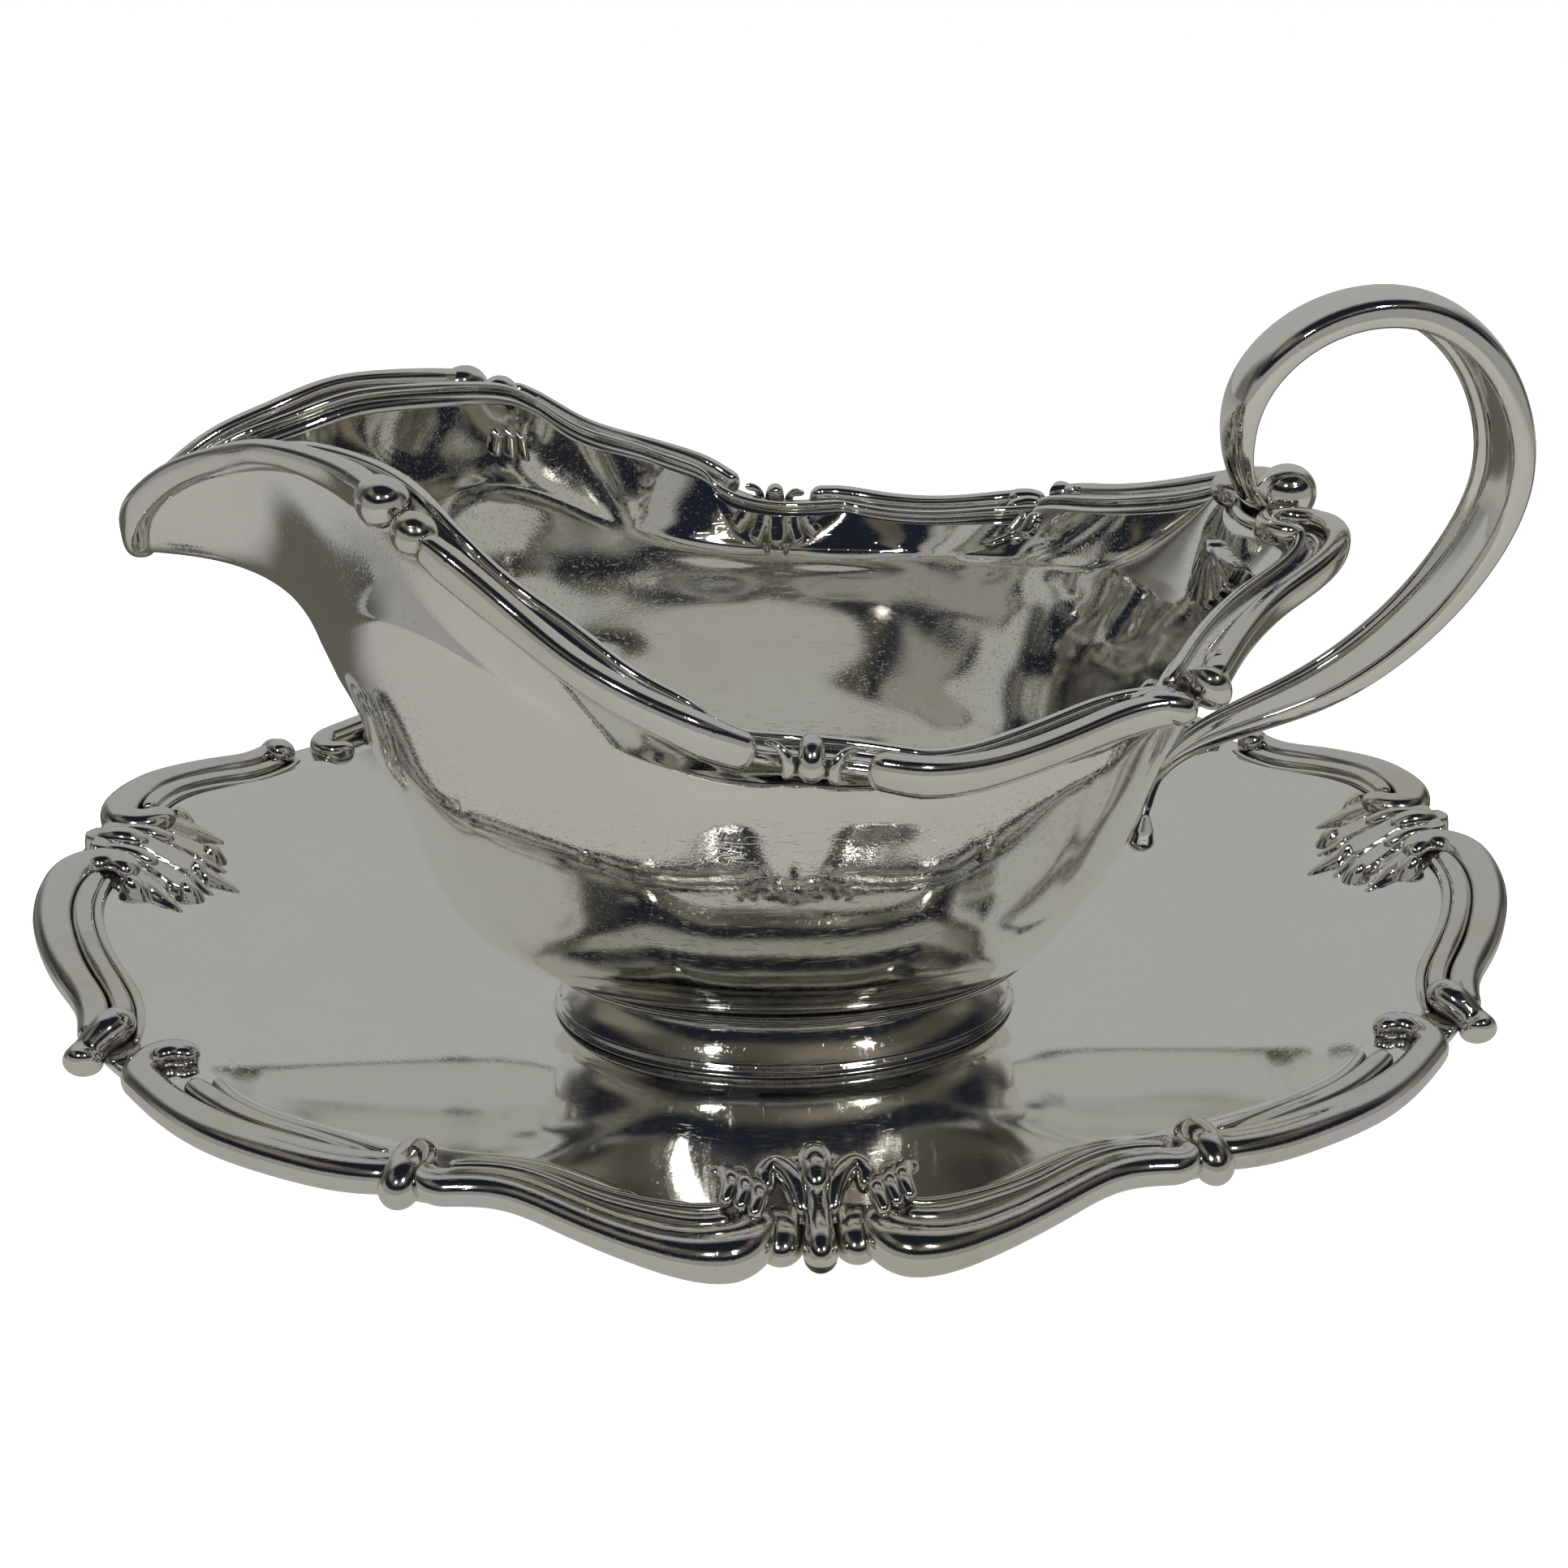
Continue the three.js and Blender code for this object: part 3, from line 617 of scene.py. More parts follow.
def rim_width(angle):
    """Width of the rim moulding: it narrows at the spout's tip."""
    return RIM_W * (1 - 0.5 * bump(angle, math.pi, 0.3))


# From the crease to the rim: share of the way out, share of the way up, and the same at the spout.
FLANGE_STEPS = ((0.1, 0.08, 0.25), (0.36, 0.31, 0.68), (0.7, 0.65, 0.92), (1, 1, 1))


def bowl_stations(angle):
    """Rings that the bowl's outer face passes through, from the middle of its bottom."""
    rings = [level_ring(level, angle) for level in LEVELS]
    crease = rings[-1]
    crease[:, 2] += CREASE_RISE * bump(angle, 2.35, 0.42)
    middle = np.zeros_like(crease) + UP * BOWL_BOTTOM
    halfway = rings[0] * np.array([0.55, 0.55, 1]) + UP * 0.45
    rim = rim_inset(angle, rim_width(angle)[:, None] + 0.3, RIM_H * 0.8)
    spout = bump(angle, math.pi, 0.55)
    flange = []
    for outward, upward, spout_upward in FLANGE_STEPS:
        outward = outward + 0 * spout
        upward = upward + (spout_upward - upward) * spout
        flange.append(crease + (rim - crease) * np.stack([outward, outward, upward], 1))
    lower = crease + (rings[-2] - crease) * (0.16 + 0.28 * spout)[:, None]
    return np.stack([middle, halfway, *rings[:-1], lower, crease, *flange])


BOWL_KNOTS = chord_knots(bowl_stations(np.array([1.2]))[:, 0])
BOWL_KNOTS = BOWL_KNOTS / BOWL_KNOTS[-1]
CREASE_S = BOWL_KNOTS[-5]


def bowl_outer(angle, s):
    """Grid (s, angle) of the bowl's outer face."""
    weights = spline_weights(BOWL_KNOTS, s)
    return np.einsum("sk,kad->sad", weights, bowl_stations(angle))


def bowl_normals(angle, s):
    """Outward directions square to the outer face."""
    e = 0.002
    s_high, s_low = np.minimum(s + e, 1), np.maximum(s - e, 0.004)
    along = bowl_outer(angle + e, np.maximum(s, 0.02)) - bowl_outer(angle - e, np.maximum(s, 0.02))
    rise = bowl_outer(angle, s_high) - bowl_outer(angle, s_low)
    return unit(np.cross(along, rise))


def bowl_inner(angle, s, lift=0.0):
    """The inner face; lift raises a point off it, into the bowl."""
    lift = np.asarray(lift, float)
    depth = WALL + (lift[..., None] if lift.ndim else lift)
    return bowl_outer(angle, s) - bowl_normals(angle, s) * depth


# Inner side of the rim: share of its width and drop below its top, and the radius of a bead.
COVE = ((0.33, 4.4), (0.33, 2.3), (0.46, 2.9), (0.6, 3.35), (0.75, 3.3), (0.88, 2.8), (0.95, 2.3))
COVE_BEADS = ((0.99, 2.15, 0.85), (0.6, 3.4, 0.5))


def bowl():
    """Outer wall, the cove that joins it to the inner wall, and the beads of the cove."""
    angle = np.linspace(0, TAU, 960, endpoint=False)
    s = np.concatenate([np.linspace(0, CREASE_S, 70), np.linspace(CREASE_S, 1, 34)[1:]])
    outer = bowl_outer(angle, s)
    inner = bowl_inner(angle, s)
    out = around(LOOP_OUT, angle)
    flare = np.clip((s - CREASE_S) / (1 - CREASE_S), 0, 1) ** 2
    outer += out * (flare[:, None] * WALL_FLARE * rim_width(angle))[..., None]
    outer[0] = (0, 0, BOWL_BOTTOM)
    inner[0] = (0, 0, BOWL_BOTTOM + WALL)
    wide = rim_width(angle)[:, None]
    tip_lift = bump(angle, math.pi, 0.3)[:, None] * UP * 0.8
    cove = [rim_inset(angle, wide * reach, drop) + tip_lift for reach, drop in COVE]
    shape = Shape().add_grid(np.concatenate([outer, np.stack(cove), inner[::-1]]))
    turn = np.linspace(0, TAU, 16, endpoint=False)[None, :, None]
    for reach, drop, size in COVE_BEADS:
        bead = rim_inset(angle, wide * reach, drop)
        ring = bead[:, None] + out[:, None] * (size * np.cos(turn)) + UP * (size * np.sin(turn))
        shape.add_grid(np.concatenate([ring, ring[:1]]))
    return shape


def on_flange(angle0, s0):
    """Placing function for a relief on the flange; v runs from the rim down inside."""
    here = bowl_outer(np.array([angle0 - 0.02, angle0 + 0.02]), np.array([s0 - 0.02, s0 + 0.02]))
    per_angle = np.linalg.norm(here[0, 1] - here[0, 0]) / 0.04
    per_s = np.linalg.norm(here[1, 0] - here[0, 0]) / 0.04

    def place(u, v, h):
        angle = angle0 + u / per_angle
        s = np.clip(s0 - v / per_s, 0.05, 1)
        return np.moveaxis(bowl_inner(angle, s, h.T), 0, 1)
    return place


# -------- boat: the rim


def rim_angle(x, y):
    """Angle around the boat of a place in plan."""
    return math.atan2(y * Y_SCALE, x)


GAP_ANGLE = rim_angle(-53.2, 36.6)
MID_ANGLE = rim_angle(-0.5, 56.8)
CORNER_ANGLE = rim_angle(51.5, 45.6)
END_ANGLE = 0.185
ROLL_R, ROLL_TALL = 1.75, 2.35    # half width and half height of the rim's outer roll


def rim_roll(start, end, fat, count, slim=None):
    """The outer roll of the rim between two angles. fat swells it along its length, and
    slim changes its height alone."""
    angle = np.linspace(start, end, count)
    t = np.linspace(0, 1, count)
    size = spread(fat, t)
    across = (ROLL_R * size)[:, None]
    up = (ROLL_TALL * size * (spread(slim, t) if slim else 1))[:, None]
    out = around(LOOP_OUT, angle)
    path = rim_inset(angle, 0, 0) - out * across - UP * up
    carried = end_dense(np.concatenate([path, across, up], 1), count)
    return tube(carried[:, :3], carried[:, 3], carried[:, 4], square=0.76)


def rim_step(angle0, mm):
    """Angle that lies mm along the rim from another one."""
    near = around(LOOP, np.array([angle0 - 0.01, angle0 + 0.01]))
    return mm / (np.linalg.norm(near[1] - near[0]) / 0.02)


def spout_lip():
    """The rim moulding round the spout, fuller and lower at its tip."""
    gap = rim_step(GAP_ANGLE, 0.9)
    ends = [0.9, 1.12, 1.0]
    thin = [1, 1, 0.92, 0.8, 0.76, 0.78, 0.86, 0.94]
    body = [0.9, 0.9, 0.95, 1.02, 1.08, 1.08, 1.02, 0.95, 0.9, 0.9]
    return Shape().add_grid(rim_roll(
        GAP_ANGLE + gap, TAU - GAP_ANGLE - gap, ends + body + ends[::-1], 520, thin + thin[::-1]))


def rim_shoulder_scroll():
    """From the middle of the side up to the shoulder."""
    start = MID_ANGLE + rim_step(MID_ANGLE, 6.2)
    end = GAP_ANGLE - rim_step(GAP_ANGLE, 7.2)
    fat = [1, 1.12, 1.04, 1, 0.98, 0.98, 0.98, 1, 1.02, 0.8]
    return Shape().add_grid(rim_roll(start, end, fat, 260))


def rim_waist_scroll():
    """From the corner to the middle of the side."""
    start = CORNER_ANGLE + rim_step(CORNER_ANGLE, 4.2)
    end = MID_ANGLE - rim_step(MID_ANGLE, 6.2)
    return Shape().add_grid(rim_roll(start, end, [0.9, 1.02, 0.98, 0.98, 1, 1.06, 1.12, 1], 240))


def rim_end_scroll():
    """From the corner round the handle end, ending in a volute."""
    start = CORNER_ANGLE - rim_step(CORNER_ANGLE, 3.4)
    path = rim_inset(np.linspace(start, END_ANGLE, 160), 1.95, 2.45)
    path = end_dense(hook(path, 4.8, 4.4), 240)
    t = np.linspace(0, 1, len(path))
    across = 1.85 * np.interp(t, [0, 0.08, 0.75, 1], [1.06, 1, 1, 0.55])
    up = 2.4 * np.interp(t, [0, 0.08, 0.75, 1], [1.06, 1, 0.95, 0.5])
    return Shape().add_grid(tube(path, across, up, square=0.82))


def rim_path(angle0, points, count):
    """A path near the rim through points given as (mm along it, inset, drop)."""
    per = rim_step(angle0, 1)
    path = [rim_inset(np.array([angle0 + a * per]), inset, drop)[0] for a, inset, drop in points]
    return end_dense(smooth(path, 40), count)


def rim_bean(angle0, points, radii):
    """A fat swelling that lies along the rim."""
    path = rim_path(angle0, points, 48)
    size = spread(radii, np.linspace(0, 1, len(path)))
    return tube(path, size, size)


def shoulder_knob():
    """Two beans end to end at the shoulder, with three flutes inside."""
    shape = Shape()
    shape.add_grid(rim_bean(
        GAP_ANGLE, [(-1, 2.7, 2.8), (2, 2.4, 2.7), (7, 2.8, 2.4)], [2.4, 3.3, 3.4, 2.8, 1.4]))
    shape.add_grid(rim_bean(
        GAP_ANGLE, [(-8, 2.7, 2.8), (-5, 2.5, 2.7), (-1.8, 2.8, 2.6)], [1.6, 2.6, 2.9, 2.6, 1.6]))
    petals = [([(k * 2.6, -1.6 + abs(k) * 0.3), (k * 3, 1.4)], [1.1, 1.3], [1.6, 1.9], 0.1)
              for k in (-1, 0, 1)]
    return relief(shape, on_flange(GAP_ANGLE, 0.965), 5.5, 3.6, petals, 0.25)


def over_rim(angle0, points, radii):
    """A swelling that runs across the rim."""
    path = rim_path(angle0, points, 44)
    size = spread(radii, np.linspace(0, 1, len(path)))
    out = around(LOOP_OUT, np.array([angle0]))[0]
    side = np.broadcast_to(np.array([-out[1], out[0], 0.0]), path.shape)
    return tube(path, size, size, sides=24, side=side)


def mid_ornament():
    """Leaf at the middle of each side: a column over the rim, with hooks and beads beside it."""
    shape = Shape()
    shape.add_grid(over_rim(
        MID_ANGLE, [(0, 1.6, 4.4), (0, 1.1, 2.4), (0, 2.2, 0.9), (0, 4.6, 1.2)], [1.7, 1.9, 1.5, 1.3]))
    petals = [([(0, -4), (0, 1.6)], [1.6, 1.9], [1.8, 2.4], 0.15)]
    for k in (-1, 1):
        hooked = [(k * 2.8, 1.3, 4.6), (k * 2.6, 0.9, 2.8), (k * 3.2, 1.6, 1.2), (k * 4.6, 3, 0.9)]
        shape.add_grid(over_rim(MID_ANGLE, hooked, [0.8, 0.8, 0.8, 0.6]))
        shape.add_grid(over_rim(MID_ANGLE, [(k * 4.4, 1.2, 3.2), (k * 4.4, 1.3, 2.8)], [0.9, 0.9]))
        petals += [
            ([(k * 2, -3.6), (k * 3, 0), (k * 3.8, 1.4)], [1.1, 1.2, 1.3], [1.6, 1.8, 1.9], 0.2),
            ([(k * 4, -3.4), (k * 5.6, -1), (k * 7, 0)], [1, 1.1, 1.2], [1.6, 1.7, 1.6], 0.2),
            ([(k * 1.9, 3), (k * 2, 3.1)], [0.8, 0.8], [1.5, 1.5], 0),
        ]
    return relief(shape, on_flange(MID_ANGLE, 0.965), 8.4, 4, petals, 0.25)


def corner_ornament():
    """Round tips that meet at the corner, with a small leaf inside."""
    shape = Shape()
    for points, radii in (
            ([(-5.8, 3, 3), (-3.4, 2.5, 2.8), (-0.6, 2.9, 3)], [2.6, 3.9, 3.8, 2.4]),
            ([(1.6, 1.8, 4), (4, 2, 2.4), (8, 3, 1.7)], [1.4, 2.3, 2.1, 0.8]),
            ([(2, 4.6, 3.2), (4.4, 4.6, 2.2), (8, 5.4, 2.6)], [1.2, 1.7, 1.5, 0.6]),
            ([(-10, 3.4, 1.6), (-8, 2.6, 1.7), (-6, 3.4, 2)], [0.8, 1.8, 1])):
        shape.add_grid(rim_bean(CORNER_ANGLE, points, radii))
    petals = [([(k * 2.4, -3), (k * 3, 0.4 * abs(k))], [1.1, 1.3], [1.6, 1.9], 0.2) for k in (-1, 0, 1)]
    petals += [([(k * 2.2, 2.2), (k * 2.3, 2.3)], [0.8, 0.8], [1.4, 1.4], 0) for k in (-1, 1)]
    return relief(shape, on_flange(CORNER_ANGLE, 0.965), 6, 4, petals, 0.25)


def end_shell():
    """Shell of flutes on the flange in front of the handle."""
    petals = []
    for k in range(-3, 4):
        lean = k * 0.4
        reach = 9 - 0.4 * abs(k)
        path = [(math.sin(lean) * r, -5 + math.cos(lean) * r) for r in (1.2, 4, 6.6, reach)]
        petals.append((path, [0.9, 1.1, 1.5, 1.75], [2.8, 3, 2.7, 2.2], 0.3))
    petals.append(([(0, 5.2), (0, 5.3)], [1.1, 1.1], [2, 2], 0))
    return relief(Shape(), on_flange(0.0, 0.958), 7.6, 6.6, petals, 0.25)


# -------- boat: foot, handle

# Sections of the foot and its collar: inset from the foot's bottom edge, and height.
FOOT_SECTION = [
    (0.2, 1.8), (0, 2.2), (0.1, 2.8), (0.9, 3.5), (1.5, 4.6), (2.2, 6.8), (2.5, 9), (2.3, 11),
    (1.6, 12.9), (3.2, 13), (4.2, 11), (4.3, 8), (3.9, 5), (3, 2.6), (1.8, 1.7),
]
COLLAR_SECTION = [
    (1.8, 12.6), (0.9, 13.3), (-0.3, 13.6), (-1.2, 14.3), (-2.3, 14.6), (-2.9, 15.2), (-2.6, 15.9),
    (-1.6, 16.3), (1, 16.4), (3.4, 16.3), (3.4, 14), (3, 12.8),
]


def oval_ring(section):
    """A closed section carried round the foot's oval."""
    profile = smooth_loop(section, 72)
    angle = np.linspace(0, TAU, 480, endpoint=False)
    x = np.cos(angle)[:, None] * (FOOT_A - profile[:, 0])
    y = np.sin(angle)[:, None] * (FOOT_B - profile[:, 0])
    grid = np.stack([x, y, np.broadcast_to(profile[:, 1], x.shape)], -1)
    return Shape().add_grid(np.concatenate([grid, grid[:1]]))


# Section of the handle's strap: share of its half width, and share of its thickness.
STRAP_SECTION = [
    (-1, -0.1), (-0.95, 0.14), (-0.72, 0.34), (-0.38, 0.47), (0, 0.52), (0.38, 0.47), (0.72, 0.34),
    (0.95, 0.14), (1, -0.1), (0.98, -0.36), (0.88, -0.48), (0.77, -0.4), (0.7, -0.22), (0.4, -0.1),
    (0, -0.05), (-0.4, -0.1), (-0.7, -0.22), (-0.77, -0.4), (-0.88, -0.48), (-0.98, -0.36),
]


def handle():
    """The strap: hollow below, rounded above, its width and thickness changing along it."""
    profile = smooth_loop([(a, b, 0) for a, b in STRAP_SECTION], 96)
    line = smooth([(x, 0, z, w, t) for x, z, w, t in HANDLE], 420)
    path, width, thick = line[:, :3], line[:, 3], line[:, 4]
    rounding = end_rounding(path, 1.5)
    along = tangents(path)
    rise = np.stack([along[:, 2], 0 * along[:, 0], -along[:, 0]], 1)
    grid = (path[:, None]
            + np.array([0, 1.0, 0]) * (profile[None, :, 0:1] * (width * rounding / 2)[:, None, None])
            + rise[:, None] * (profile[None, :, 1:2] * (thick * rounding)[:, None, None]))
    return Shape().add_grid(grid)


def handle_ball():
    """The ball that ends the handle's upper curl."""
    return Shape().add_grid(ball(HANDLE_BALL, HANDLE_BALL_R, HANDLE_BALL_R, HANDLE_BALL_R, 48))


def handle_drop():
    """The thin tail below the handle's root, ending in a drop."""
    path = end_dense(smooth([(61.9, 0, 43), (61.4, 0, 39.5), (61.2, 0, 35.4), (61, 0, 31.4)], 40), 60)
    size = np.interp(np.linspace(0, 1, 60), [0, 0.42, 0.58, 0.74, 1], [0.7, 0.8, 2.1, 2.7, 2.6])
    side = np.broadcast_to(np.array([0, 1.0, 0]), path.shape)
    return Shape().add_grid(tube(path, size, size, side=side))


# -------- materials


class Nodes:
    """Short calls for building a node tree."""

    def __init__(self, tree):
        self.tree = tree
        tree.nodes.clear()

    def new(self, kind, inputs=None, **settings):
        node = self.tree.nodes.new(kind)
        for key, value in settings.items():
            setattr(node, key, value)
        for key, value in (inputs or {}).items():
            if isinstance(value, bpy.types.NodeSocket):
                self.tree.links.new(value, node.inputs[key])
            else:
                node.inputs[key].default_value = value
        return node

    def math(self, operation, a, b=0.0, clamp=False):
        return self.new("ShaderNodeMath", {0: a, 1: b}, operation=operation, use_clamp=clamp).outputs[0]

    def ramp(self, value, low, high, to_low=0.0, to_high=1.0):
        return self.new("ShaderNodeMapRange", {
            "Value": value, "From Min": low, "From Max": high, "To Min": to_low, "To Max": to_high,
        }, interpolation_type="SMOOTHSTEP").outputs[0]

    def mix(self, factor, a, b):
        node = self.new("ShaderNodeMix", data_type="RGBA")
        for socket, value in ((node.inputs[0], factor), (node.inputs[6], a), (node.inputs[7], b)):
            if isinstance(value, bpy.types.NodeSocket):
                self.tree.links.new(value, socket)
            else:
                socket.default_value = value
        return node.outputs[2]

    def noise(self, coordinates, scale, detail=3.0, stretch=(1, 1, 1), turn=(0, 0, 0), rough=0.55):
        moved = self.new("ShaderNodeMapping", {
            "Vector": coordinates, "Scale": stretch, "Rotation": turn}).outputs[0]
        return self.new("ShaderNodeTexNoise", {
            "Vector": moved, "Scale": scale, "Detail": detail, "Roughness": rough}).outputs[0]


def silver(name, tint, roughness, recess, scratch, waviness, tarnish):
    """Polished silver: a soft waviness, fine wear scratches, warm tarnish, and recesses up to
    recess mm deep darkened by tarnish and painted shade."""
    material = bpy.data.materials.new(name)
    material.use_nodes = True
    n = Nodes(material.node_tree)
    place = n.new("ShaderNodeTexCoord").outputs["Object"]

    cloud = n.noise(place, 38, 4)
    patch = n.ramp(n.noise(place, 90, 5, rough=0.65), 0.52, 0.74)
    lines = []
    for turn, stretch in (((0.2, 0.1, 0.5), (1, 14, 6)), ((0.7, 1.9, -0.8), (12, 1, 5)),
                          ((1.3, 0.4, 2.1), (1, 9, 13))):
        fine = n.noise(place, 260, 2, stretch, turn, 0.4)
        lines.append(n.ramp(fine, 0.66, 0.74))
    scratches = n.math("ADD", n.math("ADD", lines[0], lines[1]), lines[2], clamp=True)

    clean = (*tint, 1)
    warm = (tint[0] * 0.93, tint[1] * 0.88, tint[2] * 0.76, 1)
    colour = n.mix(n.ramp(cloud, 0.42, 0.75, 0.0, 0.55 * tarnish), clean, warm)
    colour = n.mix(n.math("MULTIPLY", patch, 0.16 * tarnish), colour, (0.52, 0.47, 0.4, 1))
    rough = n.math("ADD", n.ramp(cloud, 0.3, 0.8, roughness * 0.8, roughness * 1.3),
                   n.math("MULTIPLY", scratches, 0.06 * scratch))
    rough = n.math("ADD", rough, n.math("MULTIPLY", patch, 0.05 * tarnish))

    # Painted shade with tarnish: ambient occlusion darkens the colour towards dark brown in recesses up to
    # recess mm deep.
    open_sky = n.new("ShaderNodeAmbientOcclusion", {"Distance": recess * MM}, samples=6).outputs["AO"]
    speckle = n.noise(place, 700, 3)
    tarnish_and_painted_shade = n.ramp(n.math("ADD", open_sky, n.math("MULTIPLY", speckle, 0.3)), 0.42, 0.78, 1.0, 0.0)
    colour = n.mix(n.math("MULTIPLY", tarnish_and_painted_shade, 0.86), colour, (0.085, 0.07, 0.058, 1))
    rough = n.math("ADD", rough, n.math("MULTIPLY", tarnish_and_painted_shade, 0.26))

    wave = n.new("ShaderNodeBump", {
        "Strength": 0.5 * waviness, "Distance": 0.00035, "Height": n.noise(place, 34, 2)}).outputs[0]
    pits = n.new("ShaderNodeBump", {
        "Strength": 0.10, "Distance": 0.00006, "Height": n.noise(place, 2400, 2),
        "Normal": wave}).outputs[0]
    normal = n.new("ShaderNodeBump", {
        "Strength": 0.16 * scratch, "Distance": 0.00004, "Height": scratches, "Normal": pits},
        invert=True).outputs[0]
    shader = n.new("ShaderNodeBsdfPrincipled", {
        "Base Color": colour, "Roughness": rough, "Normal": normal, "Metallic": 1.0})
    n.new("ShaderNodeOutputMaterial", {"Surface": shader.outputs[0]})
    return material


def stage_material():
    """Floor that is pale to the camera. In the silver it is a grey table, darker just behind, where a
    shadow is painted.
    """
    material = bpy.data.materials.new("floor_paper")
    material.use_nodes = True
    n = Nodes(material.node_tree)
    place = n.new("ShaderNodeTexCoord").outputs["Object"]
    seen = n.new("ShaderNodeLightPath").outputs["Is Camera Ray"]
    grain = n.noise(place, 220, 3)
    pale = n.mix(n.math("MULTIPLY", grain, 0.05), (0.93, 0.93, 0.93, 1), (0.86, 0.86, 0.86, 1))
    depth = n.new("ShaderNodeSeparateXYZ", {0: place}).outputs[1]
    # Painted shadow: the table seen in the silver is darker in a band just behind the object.
    painted_shadow = n.math("MULTIPLY", n.ramp(depth, -0.02, 0.05), n.ramp(depth, 0.34, 0.18))
    table = n.mix(painted_shadow, (0.27, 0.266, 0.254, 1), (0.075, 0.071, 0.063, 1))
    colour = n.mix(seen, table, pale)
    paper = n.new("ShaderNodeBsdfDiffuse", {"Color": colour}).outputs[0]
    glow = n.new("ShaderNodeEmission", {
        "Color": colour, "Strength": n.ramp(seen, 0, 1, 0.9, 1.04)}).outputs[0]
    shader = n.new("ShaderNodeAddShader", {0: paper, 1: glow})
    n.new("ShaderNodeOutputMaterial", {"Surface": shader.outputs[0]})
    return material


def room():
    """Surroundings: white to the camera. The silver mirrors a grey screen behind the object,
    a dark room in front with a brown band high up and light low down, and a dark ceiling."""
    world = bpy.data.worlds.new("room")
    bpy.context.scene.world = world
    world.use_nodes = True
    n = Nodes(world.node_tree)
    direction = n.new("ShaderNodeTexCoord").outputs["Generated"]
    split = n.new("ShaderNodeSeparateXYZ", {0: direction}).outputs
    seen = n.new("ShaderNodeLightPath").outputs["Is Camera Ray"]
    aside = n.math("ABSOLUTE", split[0])
    screen = n.math("MULTIPLY", n.ramp(aside, 0.86, 0.64), n.ramp(split[1], 0.1, 0.34))
    cloud = n.ramp(n.noise(direction, 1.7, 1), 0.4, 0.62)
    brown = n.mix(cloud, (0.075, 0.067, 0.055, 1), (0.19, 0.172, 0.142, 1))
    navy = (0.011, 0.014, 0.021, 1)
    front = n.mix(n.ramp(split[2], 0.58, 0.68), navy, brown)
    front = n.mix(n.ramp(split[2], 0.4, 0.28), front, (0.31, 0.303, 0.285, 1))
    rear = n.mix(cloud, (0.06, 0.058, 0.053, 1), (0.15, 0.143, 0.128, 1))
    colour = n.mix(n.ramp(split[1], -0.16, 0.2), front, rear)
    colour = n.mix(n.ramp(split[2], 0.8, 0.88), colour, navy)
    colour = n.mix(screen, colour, (0.395, 0.395, 0.38, 1))
    colour = n.mix(seen, colour, (1, 1, 1, 1))
    shader = n.new("ShaderNodeBackground", {"Color": colour, "Strength": 1.0})
    n.new("ShaderNodeOutputWorld", {"Surface": shader.outputs[0]})


def lamp(name, place, target, size, watts, colour):
    """A round lamp aimed at a place. Sizes in metres."""
    data = bpy.data.lights.new(name, "AREA")
    data.shape = "DISK"
    data.size = size
    data.energy = watts
    data.color = colour
    obj = bpy.data.objects.new(name, data)
    obj.location = place
    obj.rotation_mode = "QUATERNION"
    obj.rotation_quaternion = (Vector(target) - Vector(place)).to_track_quat("-Z", "Y")
    bpy.context.scene.collection.objects.link(obj)


def camera():
    """The viewpoint: 28 degrees above the table, a little to the spout's side."""
    data = bpy.data.cameras.new("camera")
    data.sensor_width = 36
    data.lens = 31.54
    data.shift_x = -0.0115
    data.shift_y = -0.0042
    data.clip_start = 0.01
    data.clip_end = 200
    obj = bpy.data.objects.new("camera", data)
    ahead = Vector((0.05921, 0.88047, -0.47039))
    roll = math.radians(1.15)
    level = ahead.cross(Vector((0, 0, 1))).normalized()
    top = level.cross(ahead)
    right = level * math.cos(roll) + top * math.sin(roll)
    up = right.cross(ahead)
    turn = Matrix((right, up, -ahead)).transposed().to_4x4()
    obj.matrix_world = Matrix.Translation(Vector((-11.41, -207.52, 154.18)) * MM) @ turn
    bpy.context.scene.collection.objects.link(obj)
    bpy.context.scene.camera = obj


def floor():
    """A wide sheet just below the stand."""
    mesh = bpy.data.meshes.new("floor")
    half = 60.0
    mesh.from_pydata([(-half, -half, 0), (half, -half, 0), (half, half, 0), (-half, half, 0)], [],
                     [(0, 1, 2, 3)])
    obj = bpy.data.objects.new("floor", mesh)
    obj.location.z = -0.0004
    mesh.materials.append(stage_material())
    bpy.context.scene.collection.objects.link(obj)


# -------- assembly

camera()
floor()
room()
LAMP_TARGET, LAMP_SIZE, LAMP_WATTS, LAMP_COLOUR = (0, 0, 0.06), 0.13, 7, (1, 0.98, 0.95)
for lamp_name, lamp_place in (("lamp_left", (-0.38, -0.95, 1.15)), ("lamp_right", (0.48, -0.85, 1.2))):
    lamp(lamp_name, lamp_place, LAMP_TARGET, LAMP_SIZE, LAMP_WATTS, LAMP_COLOUR)
bpy.context.scene.view_settings.view_transform = "Standard"

SILVER_TINT = (0.91, 0.905, 0.88)
stand_silver = silver("stand_silver", SILVER_TINT, roughness=0.045, recess=3.0,
                      scratch=0.6, waviness=0.35, tarnish=0.25)
stand_cast = silver("stand_cast", (0.8, 0.79, 0.765), roughness=0.07, recess=3.4,
                    scratch=0.8, waviness=1.2, tarnish=1.5)
boat_silver = silver("boat_silver", SILVER_TINT, roughness=0.03, recess=2.2,
                     scratch=1.0, waviness=0.5, tarnish=0.5)
boat_cast = silver("boat_cast", (0.84, 0.83, 0.81), roughness=0.06, recess=2.8,
                   scratch=0.7, waviness=1.0, tarnish=1.1)
handle_silver = silver("handle_silver", (0.9, 0.89, 0.86), roughness=0.035, recess=1.8,
                       scratch=0.6, waviness=0.5, tarnish=0.4)

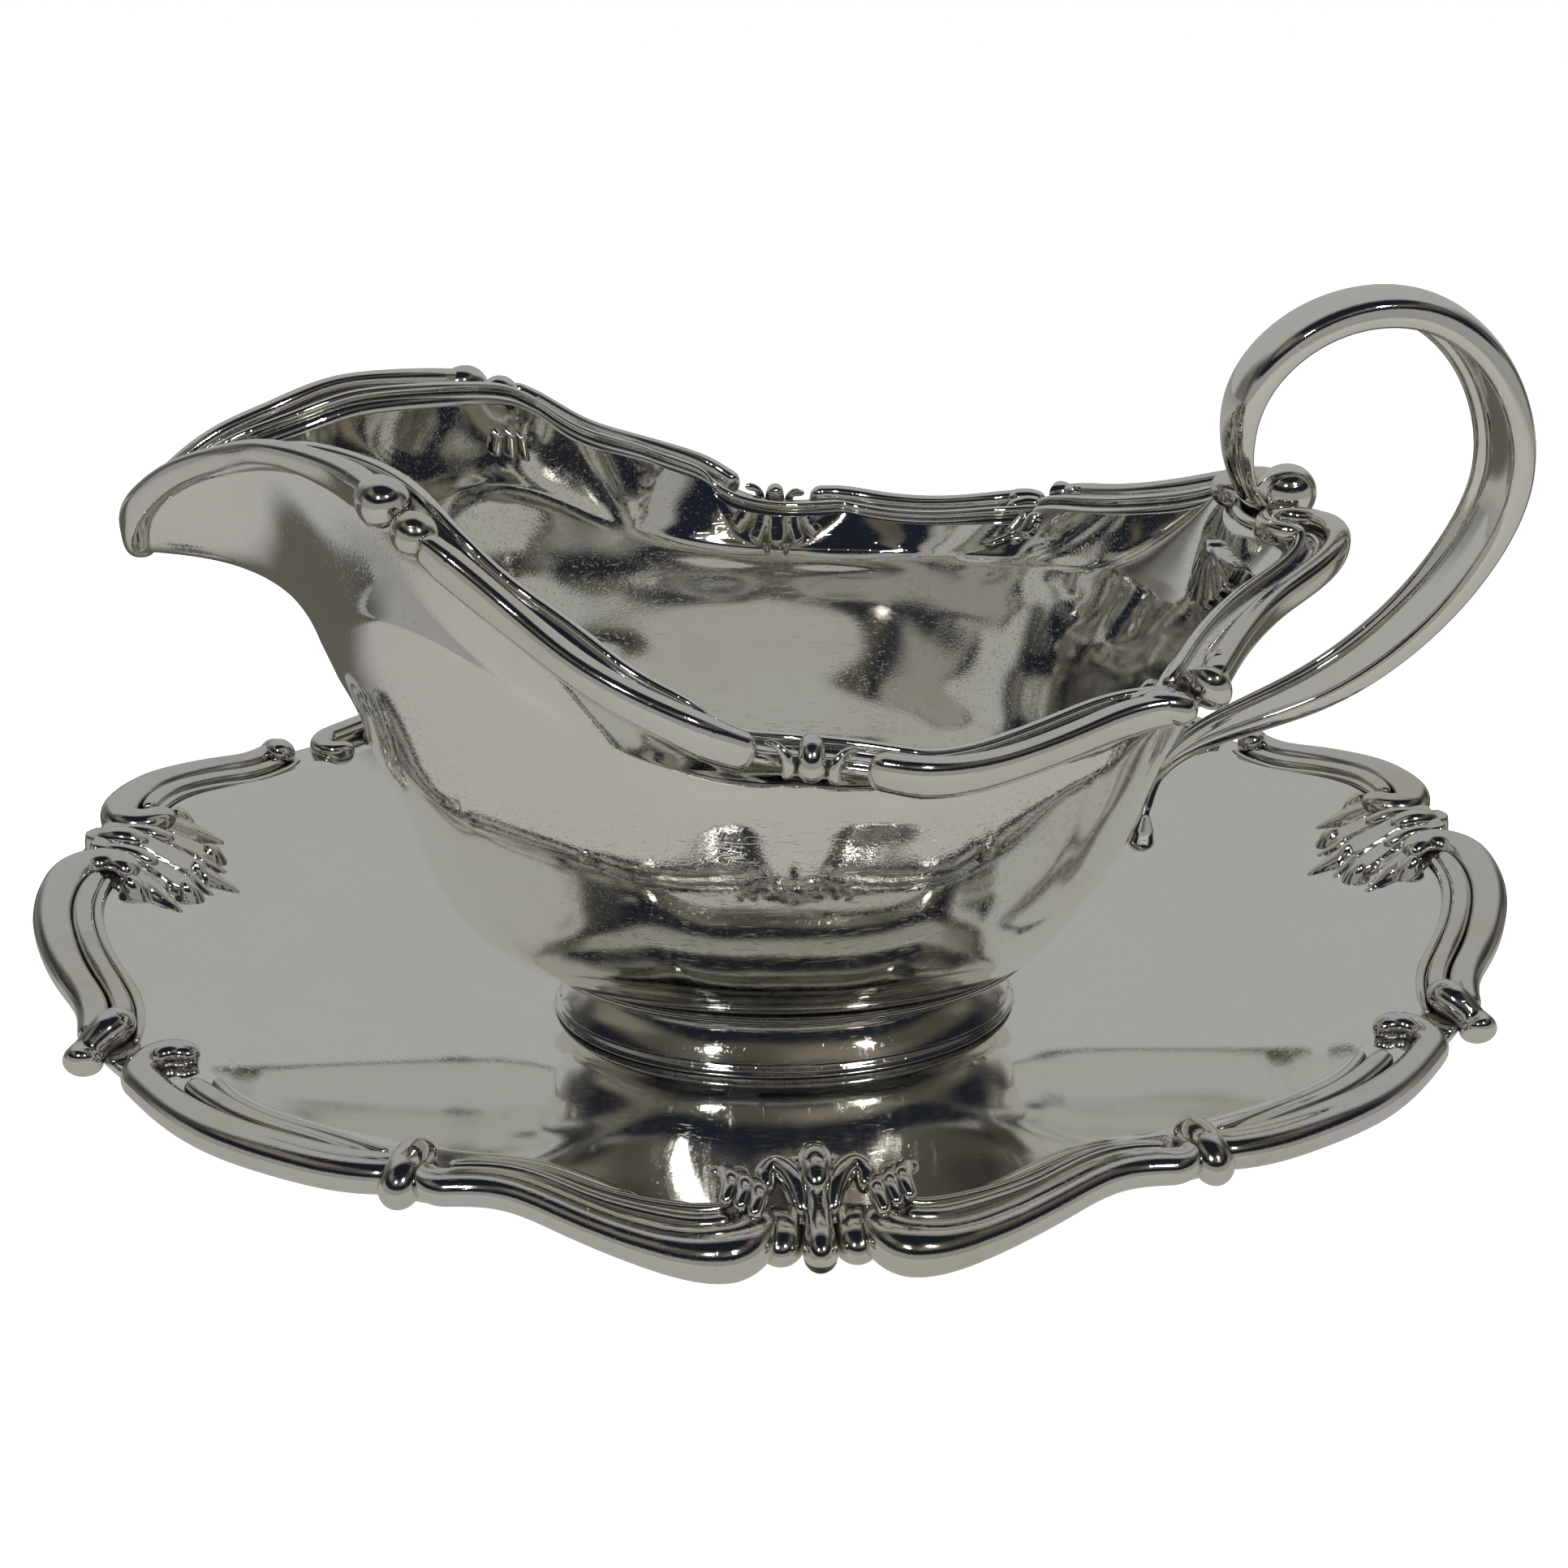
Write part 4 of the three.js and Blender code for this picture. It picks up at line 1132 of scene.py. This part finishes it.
ENDS = (("spout", -1), ("handle", 1))
SIDES = (("front", -1), ("back", 1))


def cast(name, shape, group):
    """A cast piece of the stand or the boat, which replaces the CAD node of its name."""
    if group == "stand":
        mesh_object(f"{name}_cast", shape, "stand", stand_cast, [name])
    else:
        mesh_object(f"{name}_cast", shape, "boat", boat_cast, [name], BOAT_Y)


mesh_object("stand_sheet_dish", stand_sheet(), "stand", stand_silver, ["stand_sheet"])
quarter_makers = {
    "stand_end_scroll": stand_end_scroll, "stand_side_scroll": stand_side_scroll,
    "stand_mid_scroll": stand_mid_scroll, "stand_ear_bead": stand_ear_bead,
    "stand_notch_bead": stand_notch_bead,
}
for quarter_name, maker in quarter_makers.items():
    made = maker()
    for end_name, mirror_x in ENDS:
        for side_name, mirror_y in SIDES:
            cast(f"{quarter_name}_{end_name}_{side_name}", made.mirrored(mirror_x, mirror_y), "stand")
for end_name, mirror_x in ENDS:
    cast(f"stand_end_palmette_{end_name}", stand_end_palmette().mirrored(mirror_x, 1), "stand")
    cast(f"stand_end_boss_{end_name}", stand_end_boss().mirrored(mirror_x, 1), "stand")
for side_name, mirror_y in SIDES:
    cast(f"stand_mid_palmette_{side_name}", stand_mid_palmette().mirrored(1, mirror_y), "stand")
    cast(f"stand_mid_boss_{side_name}", stand_mid_boss().mirrored(1, mirror_y), "stand")

mesh_object("bowl_raised", bowl(), "boat", boat_silver, ["bowl"], BOAT_Y)
cast("spout_lip", spout_lip(), "boat")
half_makers = {
    "rim_shoulder_scroll": rim_shoulder_scroll, "rim_waist_scroll": rim_waist_scroll,
    "rim_end_scroll": rim_end_scroll, "shoulder_knob": shoulder_knob,
    "mid_ornament": mid_ornament, "corner_ornament": corner_ornament,
}
for half_name, maker in half_makers.items():
    made = maker()
    for side_name, mirror_y in SIDES:
        cast(f"{half_name}_{side_name}", made.mirrored(1, mirror_y), "boat")
cast("end_shell", end_shell(), "boat")
for ring_name, section in (("foot_collar", COLLAR_SECTION), ("foot_ring", FOOT_SECTION)):
    mesh_object(f"{ring_name}_turned", oval_ring(section), "boat", boat_silver,
                [ring_name], BOAT_Y)
for piece_name, shape, node_name in (
        ("handle_strap", handle(), "handle"), ("handle_ball_cast", handle_ball(), "handle_ball"),
        ("handle_drop_cast", handle_drop(), "handle_drop")):
    mesh_object(piece_name, shape, "boat", handle_silver, [node_name], BOAT_Y)
